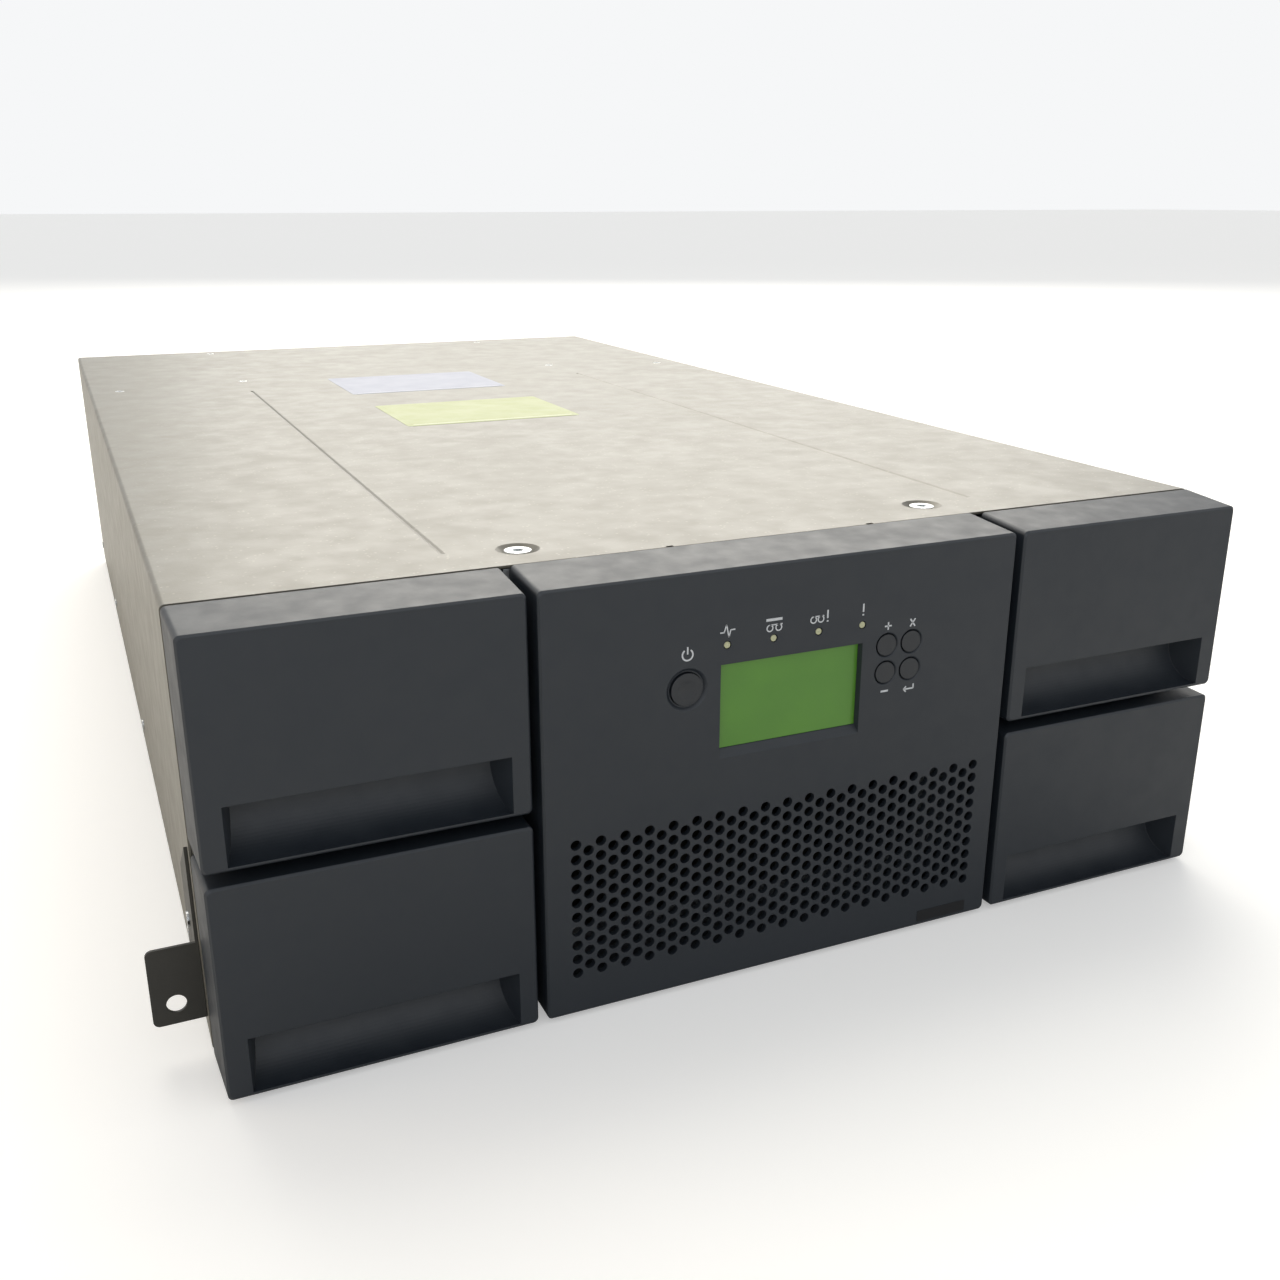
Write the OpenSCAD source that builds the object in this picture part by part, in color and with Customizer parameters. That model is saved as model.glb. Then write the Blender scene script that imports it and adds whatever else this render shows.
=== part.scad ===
// Rack-mount tape library, four rack units high.
// Millimetres, +Z up, +X to the right of someone facing the front, front face towards -Y.
// The origin is under the middle of the case, on the plane of its base.

/* [Enclosure] */
// Width across the sides of the cover
body_w = 445; // [443:1:449]
// Height from the base to the top of the cover
body_h = 175; // [175:0.5:178]
// Depth from the bezel faces to the rear handles
body_d = 800; // [790:5:840]
// Sheet steel of the chassis, frames and brackets
sheet_t = 1.2; // [1:0.1:1.5]
// Sheet steel of the wrap-round cover
cover_t = 1; // [0.8:0.1:1.2]
// Outside radius of the cover's long bends
cover_bend_r = 2; // [1.5:0.25:3]
// Depth of the rear face inside the handles
rear_inset = 6.8; // [6:0.2:8]

/* [Front bezels] */
// Depth of the moulded bezels
bezel_d = 28; // [26:1:32]
// Wall of the moulded bezels
bezel_wall = 2.5; // [2:0.1:3]
// How far the outer sides lean in towards the front
side_draft = 1.5; // [0.5:0.5:2.5]
// How far the tops slope down towards the front
top_draft = 2; // [0.5:0.5:2.5]
// Rounding of the bezels' corners
edge_r = 2; // [1:0.5:3]
// How far a magazine bezel stands past its tray towards the middle
bezel_over = 1.4; // [0.5:0.1:3]
// Seam between the display panel and the magazine bezels
seam_w = 3.5; // [2.5:0.5:4]
// Seam between the upper and lower magazine bezels
level_seam = 5; // [4:0.5:6]
// Height of the bezels' bottom edges over the base
floor_gap = 1.5; // [1:0.5:2]
// Width of a grip recess
grip_w = 99; // [80:1:102]
// Height of a grip recess
grip_h = 22; // [18:1:26]
// Depth of a grip recess at its ceiling
grip_d = 15; // [10:1:18]

/* [Display and keys] */
// Width of the display window
lcd_w = 61; // [50:1:66]
// Height of the display window
lcd_h = 34; // [26:1:36]
// Height of the middle of the display window
lcd_z = 118.5; // [114:0.5:122]
// Radius of the power button
power_r = 6.4; // [5:0.1:7.5]
// Distance of the power button to the left of the middle
power_x = 45; // [43:0.5:52]
// Radius of the four menu keys
key_r = 4.4; // [3.5:0.1:5]
// Distance between neighbouring menu keys
key_pitch = 11.5; // [11:0.25:14]
// Distance of the group of keys to the right of the middle
key_x = 48.3; // [46:0.5:56]
// Height of the middle of the group of keys
key_z = 127.8; // [122:0.5:132]
// How far a button or key travels
key_travel = 1.2; // [0.8:0.1:1.5]
// Height of the row of status lamps
lamp_z = 143.5; // [141:0.5:148]
// Distance between neighbouring status lamps
lamp_pitch = 19.7; // [15:0.1:22]
// Radius of a status lamp
lamp_r = 1.3; // [1:0.1:2]

/* [Grille] */
// Radius of a grille hole
hole_r = 2.1; // [1.6:0.05:2.3]
// Distance between columns of grille holes
hole_dx = 5; // [4.8:0.1:5.2]
// Distance between the holes of one column
hole_dz = 6.05; // [5.8:0.05:6.2]
// Height of the middle of the grille
grille_z = 46.5; // [45:0.5:50]

/* [Cartridges and magazines] */
// Cartridge size across the magazine
cart_x = 102; // [101:0.5:103]
// Cartridge size along the magazine
cart_y = 105.4; // [104:0.2:106]
// Cartridge thickness
cart_h = 21.5; // [20.5:0.1:22]
// Wall between neighbouring cartridge columns
column_wall = 3; // [2.6:0.2:4]
// Free height over a cartridge in its cell
row_clear = 1; // [0.8:0.05:1.2]
// Wall of the magazine tray
tray_wall = 1.6; // [1.4:0.1:2]
// Thickness of the shelves between cartridge rows
shelf_t = 1.5; // [1:0.1:1.6]
// Thickness of the bay's guide plate
guide_t = 2.4; // [2:0.1:3]

/* [Cartridge robot] */
// How far the turning part of the robot reaches past its guide posts
mast_reach = 22; // [21.5:0.25:24]
// Radius of the lift's guide posts
post_r = 4; // [3:0.25:4.5]
// Distance from the cradle to the middle of each guide post
post_out = 6.1; // [5.6:0.1:7]
// Radius of the lead screw
screw_r = 3.5; // [3:0.25:4]
// Thickness of the picker's fingers
finger_t = 1.2; // [1:0.1:1.3]
// Radius of the gearmotors on the carriage
motor_r = 10; // [8:0.5:10.5]
// Height of the gearmotors on the carriage
motor_h = 38; // [25:1:50]

/* [Drives] */
// Width of a tape drive
drive_w = 146; // [144:1:147]
// Free height over a tape drive on its sled
drive_clear = 2.4; // [2.1:0.1:3.6]
// Length of a tape drive
drive_l = 205; // [190:1:212]
// Sheet of a drive sled
sled_t = 1; // [0.8:0.1:1.2]
// Radius of the fan opening in a sled
fan_r = 19; // [15:0.5:20]

/* [Rear modules] */
// Space beside the power supply, and beside the controller
module_gap = 5.4; // [3.4:0.1:12]
// Height of the power supply
psu_h = 80; // [70:1:84]
// Radius of the fan opening in the power supply
psu_fan_r = 28; // [20:1:32]
// Height of the controller tray
controller_h = 40; // [34:1:60]

/* [Rack ears] */
// Distance from a rack hole to the outer edge of its ear
rack_hole_edge = 8.75; // [7.8:0.05:9.8]
// Height of the rack holes over the base
rack_hole_z = 22.2; // [20:0.1:24]
// Radius of a rack hole
rack_hole_r = 3.6; // [3.2:0.1:4]
// Reach of an ear beyond the side of the cover
ear_w = 18.8; // [17.5:0.1:19.5]
// Height of an ear's front flange
ear_h = 31.5; // [28:0.5:36]

/* [Hidden] */

$fn = 48;
eps = 0.01;

// Clearances
skin_gap = 0.2;      // between nested sheets
seam = 0.05;         // between pieces screwed or riveted together
shell_gap = 2;       // between the bezels and the case
slide_gap = 0.4;     // beside a sliding magazine
rest_gap = 0.2;      // under a sliding or turning piece
fit_gap = 0.05;      // radial, round a shaft
key_gap = 0.3;       // radial, round a key
finger_gap = 0.3;    // beside a picker finger

// Colours
plastic = "#262a30";
paint = "#4a4740";
zinc = "#b9bcc0";
steel = "#9a9da1";
pcb = "#2f6b3c";
grey_plastic = "#6b7076";

// Stations across
side_out = body_w / 2 - cover_t - skin_gap;
side_in = side_out - sheet_t;
guide_in = side_in - guide_t;
tray_out = guide_in - slide_gap;
spring_room = 3.5;
cart_lip = 2.8;
tray_w = tray_wall + spring_room + cart_x + cart_lip;
tray_in = tray_out - tray_w;
cart_in = tray_in + cart_lip;
bezel_in = tray_in - bezel_over;
bezel_out = body_w / 2;
panel_half = bezel_in - seam_w;
sled_half = drive_w / 2 + 5;
cage_in = sled_half + 1.5;
cage_out = cage_in + sheet_t;
rack_w = body_w + 2 * ear_w;
rack_pitch = rack_w - 2 * rack_hole_edge;

// Stations from front to rear
front_y = -body_d / 2;
rear_y = body_d / 2;
bezel_back = front_y + bezel_d;
shell_front = bezel_back + shell_gap;
shell_rear = rear_y - rear_inset;
aisle_front = shell_front + sheet_t;
cell_half = cart_y / 2 + 2 * finger_gap + finger_t;
col_pitch = 2 * cell_half + column_wall;
cradle_in = cell_half;
cradle_out = cradle_in + 1.4;
post_x = cradle_out + post_out;
turn_r = post_x + mast_reach;
column_clear = 6.8;
drive_room = drive_l + 30;
aisle_room = shell_rear - drive_room - aisle_front - 2 * turn_r - column_clear - 6;
columns = 1 + floor(aisle_room / col_pitch);
column_y = [for (i = [0:columns - 1]) aisle_front + turn_r + column_clear + i * col_pitch];
park_y = column_y[columns - 2];
drive_face = column_y[columns - 1] + turn_r + 6;
mid_y = drive_face + 30;

// Heights of the robot's stack, each resting on the one before
rail_h = 3;
rail_top = sheet_t + rail_h;
carriage_z = rail_top + 1;
carriage_t = 2;
carriage_top = carriage_z + carriage_t;
turntable_z = carriage_top + rest_gap;
turntable_t = 1.8;
turntable_top = turntable_z + turntable_t;
platform_z = turntable_top + 0.4;
platform_t = 1;
stage_z = platform_z + platform_t + rest_gap / 2;
stage_t = 1;
picker_z = stage_z + stage_t + rest_gap / 2;
cart_z = picker_z + 0.7;

// Heights of the magazines
bezel_h = (body_h - top_draft - floor_gap - level_seam) / 2;
level_pitch = bezel_h + level_seam;
row_pitch = cart_h + row_clear + shelf_t;
level_clear = 12;
rows = floor((level_pitch - level_clear) / row_pitch);
tray_z = cart_z - tray_wall;
tray_h = tray_wall + rows * row_pitch - shelf_t;
lift_travel = level_pitch + (rows - 1) * row_pitch;
cover_under = body_h - cover_t;
frame_top = cover_under - 0.4;

// A box between two x, two y and two z planes
module span(x, y, z) {
  translate([x[0], y[0], z[0]]) cube([x[1] - x[0], y[1] - y[0], z[1] - z[0]]);
}

// A cylinder along Y between two y planes
module rod_y(x, z, r, y) {
  translate([x, y[0], z]) rotate([-90, 0, 0]) cylinder(h = y[1] - y[0], r = r);
}

// A cylinder along X between two x planes
module rod_x(y, z, r, x) {
  translate([x[0], y, z]) rotate([0, 90, 0]) cylinder(h = x[1] - x[0], r = r);
}

// A cylinder along Z between two z planes
module rod_z(x, y, r, z) {
  translate([x, y, z[0]]) cylinder(h = z[1] - z[0], r = r);
}

// Children on the right (side = 1) or mirrored to the left (side = -1)
module on_side(side) {
  mirror([side < 0 ? 1 : 0, 0, 0]) children();
}

module both_sides() {
  for (side = [-1, 1]) on_side(side) children();
}

// Flat outline with round top corners, standing on the x axis
module top_rounded(w, h, r) {
  translate([-w / 2, 0]) square([w, h - r]);
  translate([r - w / 2, 0]) square([w - 2 * r, h]);
  for (s = [-1, 1]) translate([s * (w / 2 - r), h - r]) circle(r);
}

// Flat outline with four round corners
module rounded(x, z, r) {
  translate([x[0] + r, z[0]]) square([x[1] - x[0] - 2 * r, z[1] - z[0]]);
  translate([x[0], z[0] + r]) square([x[1] - x[0], z[1] - z[0] - 2 * r]);
  for (cx = [x[0] + r, x[1] - r], cz = [z[0] + r, z[1] - r]) translate([cx, cz]) circle(r);
}

// A flat outline drawn in x and z, thickened between two y planes
module plate_y(y) {
  translate([0, y[1], 0]) rotate([90, 0, 0]) linear_extrude(y[1] - y[0]) children();
}

// ---------------------------------------------------------------- gears

pressure = 20;
backlash = 0.15;     // taken off each flank

function involute(a) = tan(a) * 180 / PI - a;

// Half the angle that a tooth spans at radius r
function tooth_half(r, m, n) =
  let (rp = m * n / 2, rb = rp * cos(pressure))
  90 / n - backlash / rp * 180 / PI + involute(pressure) - involute(acos(min(1, rb / max(r, rb))));

// Outline of a spur gear with one tooth centred on +X
function gear_points(m, n, addendum) =
  let (
    rp = m * n / 2,
    root = rp - (addendum + 0.3) * m,
    tip = rp + addendum * m,
    base = max(root + 0.1, rp * cos(pressure)),
    radii = [root, base, (base + tip) / 2, tip]
  )
  [for (i = [0:n - 1], side = [-1, 1], k = [0:3])
    let (r = radii[side < 0 ? k : 3 - k], a = i * 360 / n + side * tooth_half(r, m, n))
    [r * cos(a), r * sin(a)]];

module gear(m, n, addendum, t, bore) {
  linear_extrude(t) difference() {
    polygon(gear_points(m, n, addendum));
    if (bore > 0) circle(bore);
  }
}

// Outline of a rack along y, teeth towards -x from its pitch line at x = 0, one gap centred on y = 0
function rack_points(m, first, last, addendum, back) =
  let (pitch = PI * m, half = pitch / 4 - backlash, a = addendum * m, d = (addendum + 0.3) * m)
  concat(
    [[back, (first - 1) * pitch]],
    [[d, (first - 1) * pitch]],
    [for (i = [first:last], s = [-1, 1])
      let (mid = (i - 0.5) * pitch)
      each s < 0
        ? [[d, mid - half - d * tan(pressure)], [-a, mid - half + a * tan(pressure)]]
        : [[-a, mid + half - a * tan(pressure)], [d, mid + half + d * tan(pressure)]]],
    [[d, last * pitch]],
    [[back, last * pitch]]
  );

// ---------------------------------------------------------------- case

cover_foot = 5;      // height of the cover's lower edge
crease_x = tray_in + 12.6;
crease_y = [front_y + 55, mid_y - 48];
screw_edge = 10.5;   // from the panel's sides to the screws that hold it
big_screw = [panel_half - screw_edge, front_y + 51];
small_screws = [[cage_out + 37.3, shell_rear - 15], [cage_out + 37.3, mid_y + 8], [guide_in - 14.7, mid_y - 12]];
side_screws = [for (y = [front_y + 90, front_y + 330, mid_y + 7, shell_rear - 20]) [y, 20]];
dimple_r = 8.5;
dimple_d = 2.4;
screw_head_r = 5.2;
small_head_r = 3.1;
small_head_d = 1;
small_shank_r = 1.5;
tab_t = sheet_t;

module chassis_tray() color(paint) difference() {
  union() {
    span([-side_out, side_out], [shell_front, shell_rear], [0, sheet_t]);
    both_sides() span([side_in, side_out], [shell_front, shell_rear], [0, body_h - cover_bend_r - 1]);
  }
  both_sides() for (s = side_screws) rod_x(s[0], s[1], small_shank_r + 0.3, [side_in - 1, side_out + 1]);
  both_sides() rod_x(ear_screw_y, ear_screw_z[0], small_shank_r + 0.3, [side_in - 1, side_out + 1]);
  both_sides() rod_x(ear_screw_y, ear_screw_z[1], small_shank_r + 0.3, [side_in - 1, side_out + 1]);
  for (x = [-150, -50, 50, 150], y = [aisle_front + 168.8, shell_rear - 93.2])
    rod_z(x, y, 2.2, [-1, sheet_t + 1]);
}

module cover_outline(inset) {
  top_rounded(body_w - 2 * inset, body_h - inset, cover_bend_r - inset);
}

module top_cover() color(paint) difference() {
  union() {
    difference() {
      plate_y([shell_front, shell_rear]) cover_outline(0);
      plate_y([shell_front - 1, shell_rear + 1]) cover_outline(cover_t);
      span([-body_w, body_w], [shell_front - 1, shell_rear + 1], [-1, cover_foot]);
    }
    for (s = [-1, 1]) translate([s * big_screw[0], big_screw[1], body_h - dimple_d - cover_t])
      cylinder(h = dimple_d + cover_t, r1 = 4.5, r2 = dimple_r + 0.6);
  }
  for (s = [-1, 1]) translate([s * big_screw[0], big_screw[1], body_h - dimple_d])
    cylinder(h = dimple_d + eps, r1 = screw_head_r + 0.3, r2 = dimple_r);
  for (s = [-1, 1]) rod_z(s * big_screw[0], big_screw[1], 2.6, [body_h - 8, body_h]);
  both_sides() for (p = small_screws) translate([p[0], p[1], body_h - small_head_d])
    cylinder(h = small_head_d + eps, r1 = small_shank_r + 0.2, r2 = small_head_r + 0.4);
  both_sides() for (p = small_screws) rod_z(p[0], p[1], small_shank_r + 0.2, [body_h - 8, body_h]);
  both_sides() translate([crease_x, crease_y[0], body_h]) rotate([-90, 0, 0])
    linear_extrude(crease_y[1] - crease_y[0]) polygon([[-1.1, -1], [-1.1, 0], [0, 0.45], [1.1, 0], [1.1, -1]]);
  for (x = [-38, 52]) span([x - 1.5, x + 1.5], [shell_front - 1, shell_front + 1.5], [body_h - 3, body_h + 1]);
  both_sides() for (s = side_screws) rod_x(s[0], s[1], small_shank_r + 0.3, [side_out, body_w]);
  both_sides() for (z = ear_screw_z) rod_x(ear_screw_y, z, small_shank_r + 0.3, [side_out, body_w]);
}

// Countersunk screw, head up, head top at z = 0
module flat_screw(head_r, head_d, shank_r, length) {
  difference() {
    union() {
      translate([0, 0, -head_d]) cylinder(h = head_d, r1 = shank_r, r2 = head_r);
      translate([0, 0, -length]) cylinder(h = length - head_d + eps, r = shank_r);
    }
    translate([0, 0, -head_d / 2]) cylinder(h = head_d, r = head_r * 0.45, $fn = 6);
  }
}

module round_screw(head_r, head_h, shank_r, length) {
  difference() {
    union() {
      cylinder(h = head_h, r = head_r);
      translate([0, 0, -length]) cylinder(h = length + eps, r = shank_r);
    }
    translate([0, 0, head_h / 2]) cylinder(h = head_h, r = head_r * 0.45, $fn = 6);
  }
}

side_screw_l = cover_t + skin_gap + sheet_t - 0.1;

module housing_screws() color(zinc) {
  for (s = [-1, 1]) translate([s * big_screw[0], big_screw[1], body_h - dimple_d + 0.02])
    round_screw(screw_head_r, 1.9, 2.3, 6);
  both_sides() for (p = small_screws) translate([p[0], p[1], body_h - 0.05])
    flat_screw(small_head_r, small_head_d, small_shank_r, 5);
  both_sides() for (s = side_screws) translate([body_w / 2 + 0.02, s[0], s[1]]) rotate([0, 90, 0])
    round_screw(small_head_r, 0.9, small_shank_r, side_screw_l);
  both_sides() for (z = ear_screw_z) translate([ear_plate_out + 0.02, ear_screw_y, z]) rotate([0, 90, 0])
    round_screw(small_head_r, 0.9, small_shank_r, side_screw_l + sheet_t);
}

// ---------------------------------------------------------------- rack ears

ear_plane = front_y + 37;
ear_plate_in = body_w / 2 + 0.05;
ear_plate_out = ear_plate_in + sheet_t;
ear_z = [rack_hole_z - 8.2, rack_hole_z - 8.2 + ear_h];
ear_screw_y = front_y + 58;
ear_screw_z = [24, 44];
ear_plate_rear = front_y + 76;

module rack_ear(side) color("#332f28") on_side(side) difference() {
  union() {
    translate([ear_plate_in, 0, 0]) rotate([90, 0, 90]) linear_extrude(sheet_t)
      polygon([
        [ear_plane, ear_z[0]], [ear_plate_rear, ear_z[0]], [ear_plate_rear, 58],
        [ear_plane, 84]
      ]);
    plate_y([ear_plane, ear_plane + sheet_t])
      rounded([ear_plate_in, rack_w / 2], ear_z, 2.5);
    span([ear_plate_in, ear_plate_in + 3], [ear_plane, ear_plane + sheet_t], ear_z);
  }
  rod_y(rack_pitch / 2, rack_hole_z, rack_hole_r, [ear_plane - 1, ear_plane + sheet_t + 1]);
  for (z = ear_screw_z) rod_x(ear_screw_y, z, small_shank_r + 0.2, [ear_plate_in - 1, ear_plate_out + 1]);
}

// ---------------------------------------------------------------- front

boss_r = 4;
boss_at = [for (z = [10, 88, body_h - 15]) [panel_half - screw_edge, z]];
grille_cols = 1 + 2 * floor((panel_half - 12.5) / hole_dx);
grille_rows = 10;
recess_r = 8.5;
bezel_inner = front_y + bezel_wall;
lcd_half = lcd_w / 2;
lcd_low = lcd_z - lcd_h / 2;
lcd_high = lcd_z + lcd_h / 2;
power_z = 128.3;
lamps = [for (i = [-1.5:1:1.5]) 1 + i * lamp_pitch];
keys = [
  [key_x - key_pitch / 2, key_z + key_pitch / 2], [key_x + key_pitch / 2, key_z + key_pitch / 2],
  [key_x - key_pitch / 2, key_z - key_pitch / 2], [key_x + key_pitch / 2, key_z - key_pitch / 2]
];

// Thin rounded slab in x and z at depth y, a section of a drafted moulding
module section(x, z, y, r) {
  translate([0, y + 0.02, 0]) rotate([90, 0, 0]) linear_extrude(0.02) rounded(x, z, r, $fn = 24);
}

// A drafted block from its front section to its rear one, with a softened front edge
module drafted(xf, zf, xr, zr, y, r, soft) {
  hull() {
    section([xf[0] + soft, xf[1] - soft], [zf[0] + soft, zf[1] - soft], y[0], r);
    section(xf, zf, y[0] + soft, r);
    section(xr, zr, y[1] - 0.02, r);
  }
}

// Hollow of the same block, open at the rear
module drafted_hollow(xf, zf, xr, zr, y, r, w) {
  hull() {
    section([xf[0] + w, xf[1] - w], [zf[0] + w, zf[1] - w], y[0] + w, max(r - w, 0.3));
    section([xr[0] + w, xr[1] - w], [zr[0] + w, zr[1] - w], y[1] + 0.5, max(r - w, 0.3));
  }
}

module front_bezel() color(plastic) {
  x = [-panel_half, panel_half];
  zf = [floor_gap, body_h - top_draft];
  zr = [floor_gap, body_h];
  y = [front_y, shell_front - 0.4];
  difference() {
    union() {
      difference() {
        drafted(x, zf, x, zr, y, edge_r, 0.8);
        drafted_hollow(x, zf, x, zr, y, edge_r, bezel_wall);
      }
      for (p = boss_at, s = [-1, 1]) rod_y(s * p[0], p[1], boss_r, [bezel_inner - eps, shell_front - skin_gap]);
    }
    // grille of staggered holes
    plate_y([front_y - 1, bezel_inner + 1]) grille_holes();
    // display window with its sloped lower lip
    hull() {
      span([-lcd_half - 0.6, lcd_half + 0.6], [front_y - 0.02, front_y], [lcd_low - 3.4, lcd_high + 0.5]);
      span([-lcd_half, lcd_half], [bezel_inner, bezel_inner + 0.1], [lcd_low, lcd_high]);
    }
    // power button, its dished ring, and the keys
    rod_y(-power_x, power_z, power_r + key_gap, [front_y - 1, bezel_inner + 1]);
    translate([-power_x, front_y - eps, power_z]) rotate([-90, 0, 0])
      cylinder(h = 1.2, r1 = recess_r, r2 = power_r + 0.9);
    for (k = keys) rod_y(k[0], k[1], key_r + key_gap, [front_y - 1, bezel_inner + 1]);
    for (k = keys) translate([k[0], front_y - eps, k[1]]) rotate([-90, 0, 0])
      cylinder(h = 0.7, r1 = key_r + 0.9, r2 = key_r + key_gap);
    for (lx = lamps) rod_y(lx, lamp_z, lamp_r + key_gap, [front_y - 1, bezel_inner + 1]);
  }
}

module grille_holes() {
  for (c = [0:grille_cols - 1]) {
    high = c % 2 == 0;
    count = high ? grille_rows : grille_rows - 1;
    for (r = [0:count - 1])
      translate([(c - (grille_cols - 1) / 2) * hole_dx, grille_z + (r - (count - 1) / 2) * hole_dz])
        circle(hole_r, $fn = 24);
  }
}

module front_frame() color(zinc) difference() {
  union() {
    span([-frame_half, frame_half], [shell_front, aisle_front], [sheet_t, frame_top]);
    span([-frame_half, frame_half], [shell_front, shell_front + 14], [sheet_t, 2 * sheet_t]);
    both_sides() span([frame_half - sheet_t, frame_half], [shell_front, shell_front + 11], [sheet_t, frame_top]);
    both_sides() span([big_screw[0] - 11, frame_half], [shell_front, big_screw[1] + 11], [tab_z, tab_z + sheet_t]);
  }
  span([-vent_half, vent_half], [shell_front - 1, aisle_front + 1], [20, 74]);
  span([-34, 34], [shell_front - 1, aisle_front + 1], [100, 140]);
  both_sides() rod_z(big_screw[0], big_screw[1], 2.5, [tab_z - 1, tab_z + 4]);
  for (p = boss_at, s = [-1, 1]) rod_y(s * p[0], p[1], 1.6, [shell_front - 1, aisle_front + 1]);
}
frame_half = tray_in - 2.6;
vent_half = panel_half - screw_edge - 2 * boss_r;
tab_z = body_h - dimple_d - cover_t - 0.1 - sheet_t;

module button(x, z, r, face) {
  rod_y(x, z, r, [front_y + face, bezel_inner + 0.1 + eps]);
  rod_y(x, z, r + 1, [bezel_inner + 0.1, bezel_inner + 1.3]);
  rod_y(x, z, 2, [bezel_inner + 1.3 - eps, switch_face - key_travel - 0.15]);
}
board_face = bezel_inner + 8.5;
board_t = 1.6;
switch_face = board_face - 2.6;

module power_button() color(plastic) difference() {
  button(-power_x, power_z, power_r, 0.1);
  translate([-power_x, front_y + 0.1 - 18.6, power_z]) sphere(19, $fn = 64);
}
module menu_key(i) color(plastic) button(keys[i][0], keys[i][1], key_r, 0.15);

module lcd_window() color("#7fa03a")
  span([-lcd_half - 2, lcd_half + 2], [bezel_inner + 0.1, bezel_inner + 1.1], [lcd_low - 2, lcd_high + 2]);

module lcd_module() color("#3c4a22") difference() {
  span([-lcd_half - 3.4, lcd_half + 3.4], [bezel_inner + 1.2, board_face], [lcd_low - 4.6, lcd_high + 4]);
  span([-lcd_half - 0.5, lcd_half + 0.5], [bezel_inner + 1, bezel_inner + 1.8], [lcd_low - 0.5, lcd_high + 0.5]);
}

module panel_board() color(pcb) {
  span([-power_x - 12, key_x + key_pitch / 2 + 10], [board_face, board_face + board_t], [lcd_low - 8, lamp_z + 7]);
  for (k = concat(keys, [[-power_x, power_z]]))
    span([k[0] - 3, k[0] + 3], [switch_face, board_face + eps], [k[1] - 3, k[1] + 3]);
  // standoffs to the front frame
  for (x = [-power_x - 8, key_x + key_pitch / 2 + 6], z = [lcd_low - 4, lamp_z + 3])
    rod_y(x, z, 2.5, [board_face + board_t - eps, shell_front]);
}

module status_leds() color("#8f9a86")
  for (lx = lamps) rod_y(lx, lamp_z, lamp_r, [front_y + 0.3, board_face]);

// ---------------------------------------------------------------- magazines

bay_front = aisle_front;
bay_rear = mid_y;
runner_top = tray_z - rest_gap;
shelf_z = tray_z + tray_h + 6.85;
tray_front = bezel_back - 6;
tray_rear = column_y[columns - 1] + cell_half + tray_wall;
cell_front = column_y[0] - cell_half;

// Guide plate on the chassis side with the runners and shelf of both levels
module magazine_bay(side) color(steel) on_side(side) {
  plate_y([bay_front, bay_rear]) {
    translate([guide_in, sheet_t]) square([guide_t, frame_top - sheet_t]);
    translate([guide_in - 10, runner_top - 2]) square([10 + eps, 2]);
    translate([tray_in, shelf_z]) square([guide_in - tray_in + eps, sheet_t]);
    for (x = [tray_in + 4, guide_in - 14])
      translate([x, shelf_z + sheet_t - eps]) square([4, runner_top + level_pitch - shelf_z - sheet_t + eps]);
  }
  span([tray_in + 2, tray_in + 8], [bay_front, bay_rear], [sheet_t, runner_top]);
}

module at_level(level) translate([0, 0, level * level_pitch]) children();

// Tray of four columns and three rows of cells, open towards the aisle
module magazine_tray(side, level) color(grey_plastic) on_side(side) at_level(level) difference() {
  span([tray_in, tray_out], [tray_front, tray_rear], [tray_z, tray_z + tray_h]);
  for (y = column_y, r = [0:rows - 1]) {
    z = cart_z + r * row_pitch;
    span([tray_in - 1, tray_out - tray_wall], [y - cell_half, y + cell_half], [z, z + row_pitch - shelf_t]);
    span([tray_out - tray_wall - 1, tray_out + 1], [y - 38, y - 8], [z + 4, z + row_pitch - shelf_t - 4]);
    span([tray_out - tray_wall - 1, tray_out + 1], [y + 8, y + 38], [z + 4, z + row_pitch - shelf_t - 4]);
  }
  // hollow nose behind the bezel
  span([tray_in + 2.5, tray_out - 2.5], [tray_front + 3, cell_front - tray_wall], [tray_z + tray_wall, tray_z + tray_h + 1]);
  span([tray_in - 1, tray_in + 4], [tray_front + 14, cell_front - 10], [tray_z + 10, tray_z + tray_h - 10]);
}

// One cartridge, its hub side down, front edge towards the aisle
module cartridge(y, z) {
  x = [cart_in, cart_in + cart_x];
  difference() {
    span(x, [y - cart_y / 2, y + cart_y / 2], [z + 0.05, z + 0.05 + cart_h]);
    // grip notches near the aisle end, label recess, hub window and top panel
    for (s = [-1, 1]) translate([0, y + s * (cart_y / 2 + eps), 0])
      span([x[0] + 7, x[0] + 12], [s > 0 ? -2.5 : -1, s > 0 ? 1 : 2.5], [z - 1, z + cart_h + 1]);
    span([x[0] - 1, x[0] + 0.3], [y - 39.5, y + 39.5], [z + 3, z + cart_h - 2.5]);
    rod_z(cart_in + cart_x / 2 + 5, y, 22, [z - 1, z + 1]);
    span([x[0] + 9, x[1] - 14], [y - 44, y + 44], [z + cart_h - 0.3, z + cart_h + 1]);
  }
}

// The three lowest front cells on the left stay free for import and export
function is_free(side, level, column) = side < 0 && level == 0 && column == 0;

module cartridges(side, level) color("#1f2226") on_side(side) at_level(level)
  for (c = [0:columns - 1], r = [0:rows - 1])
    if (!is_free(side, level, c)) cartridge(column_y[c], cart_z + r * row_pitch);

grip_lip = 1.8;
grip_side = 8.5;
mould_draft = 0.3;

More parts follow.
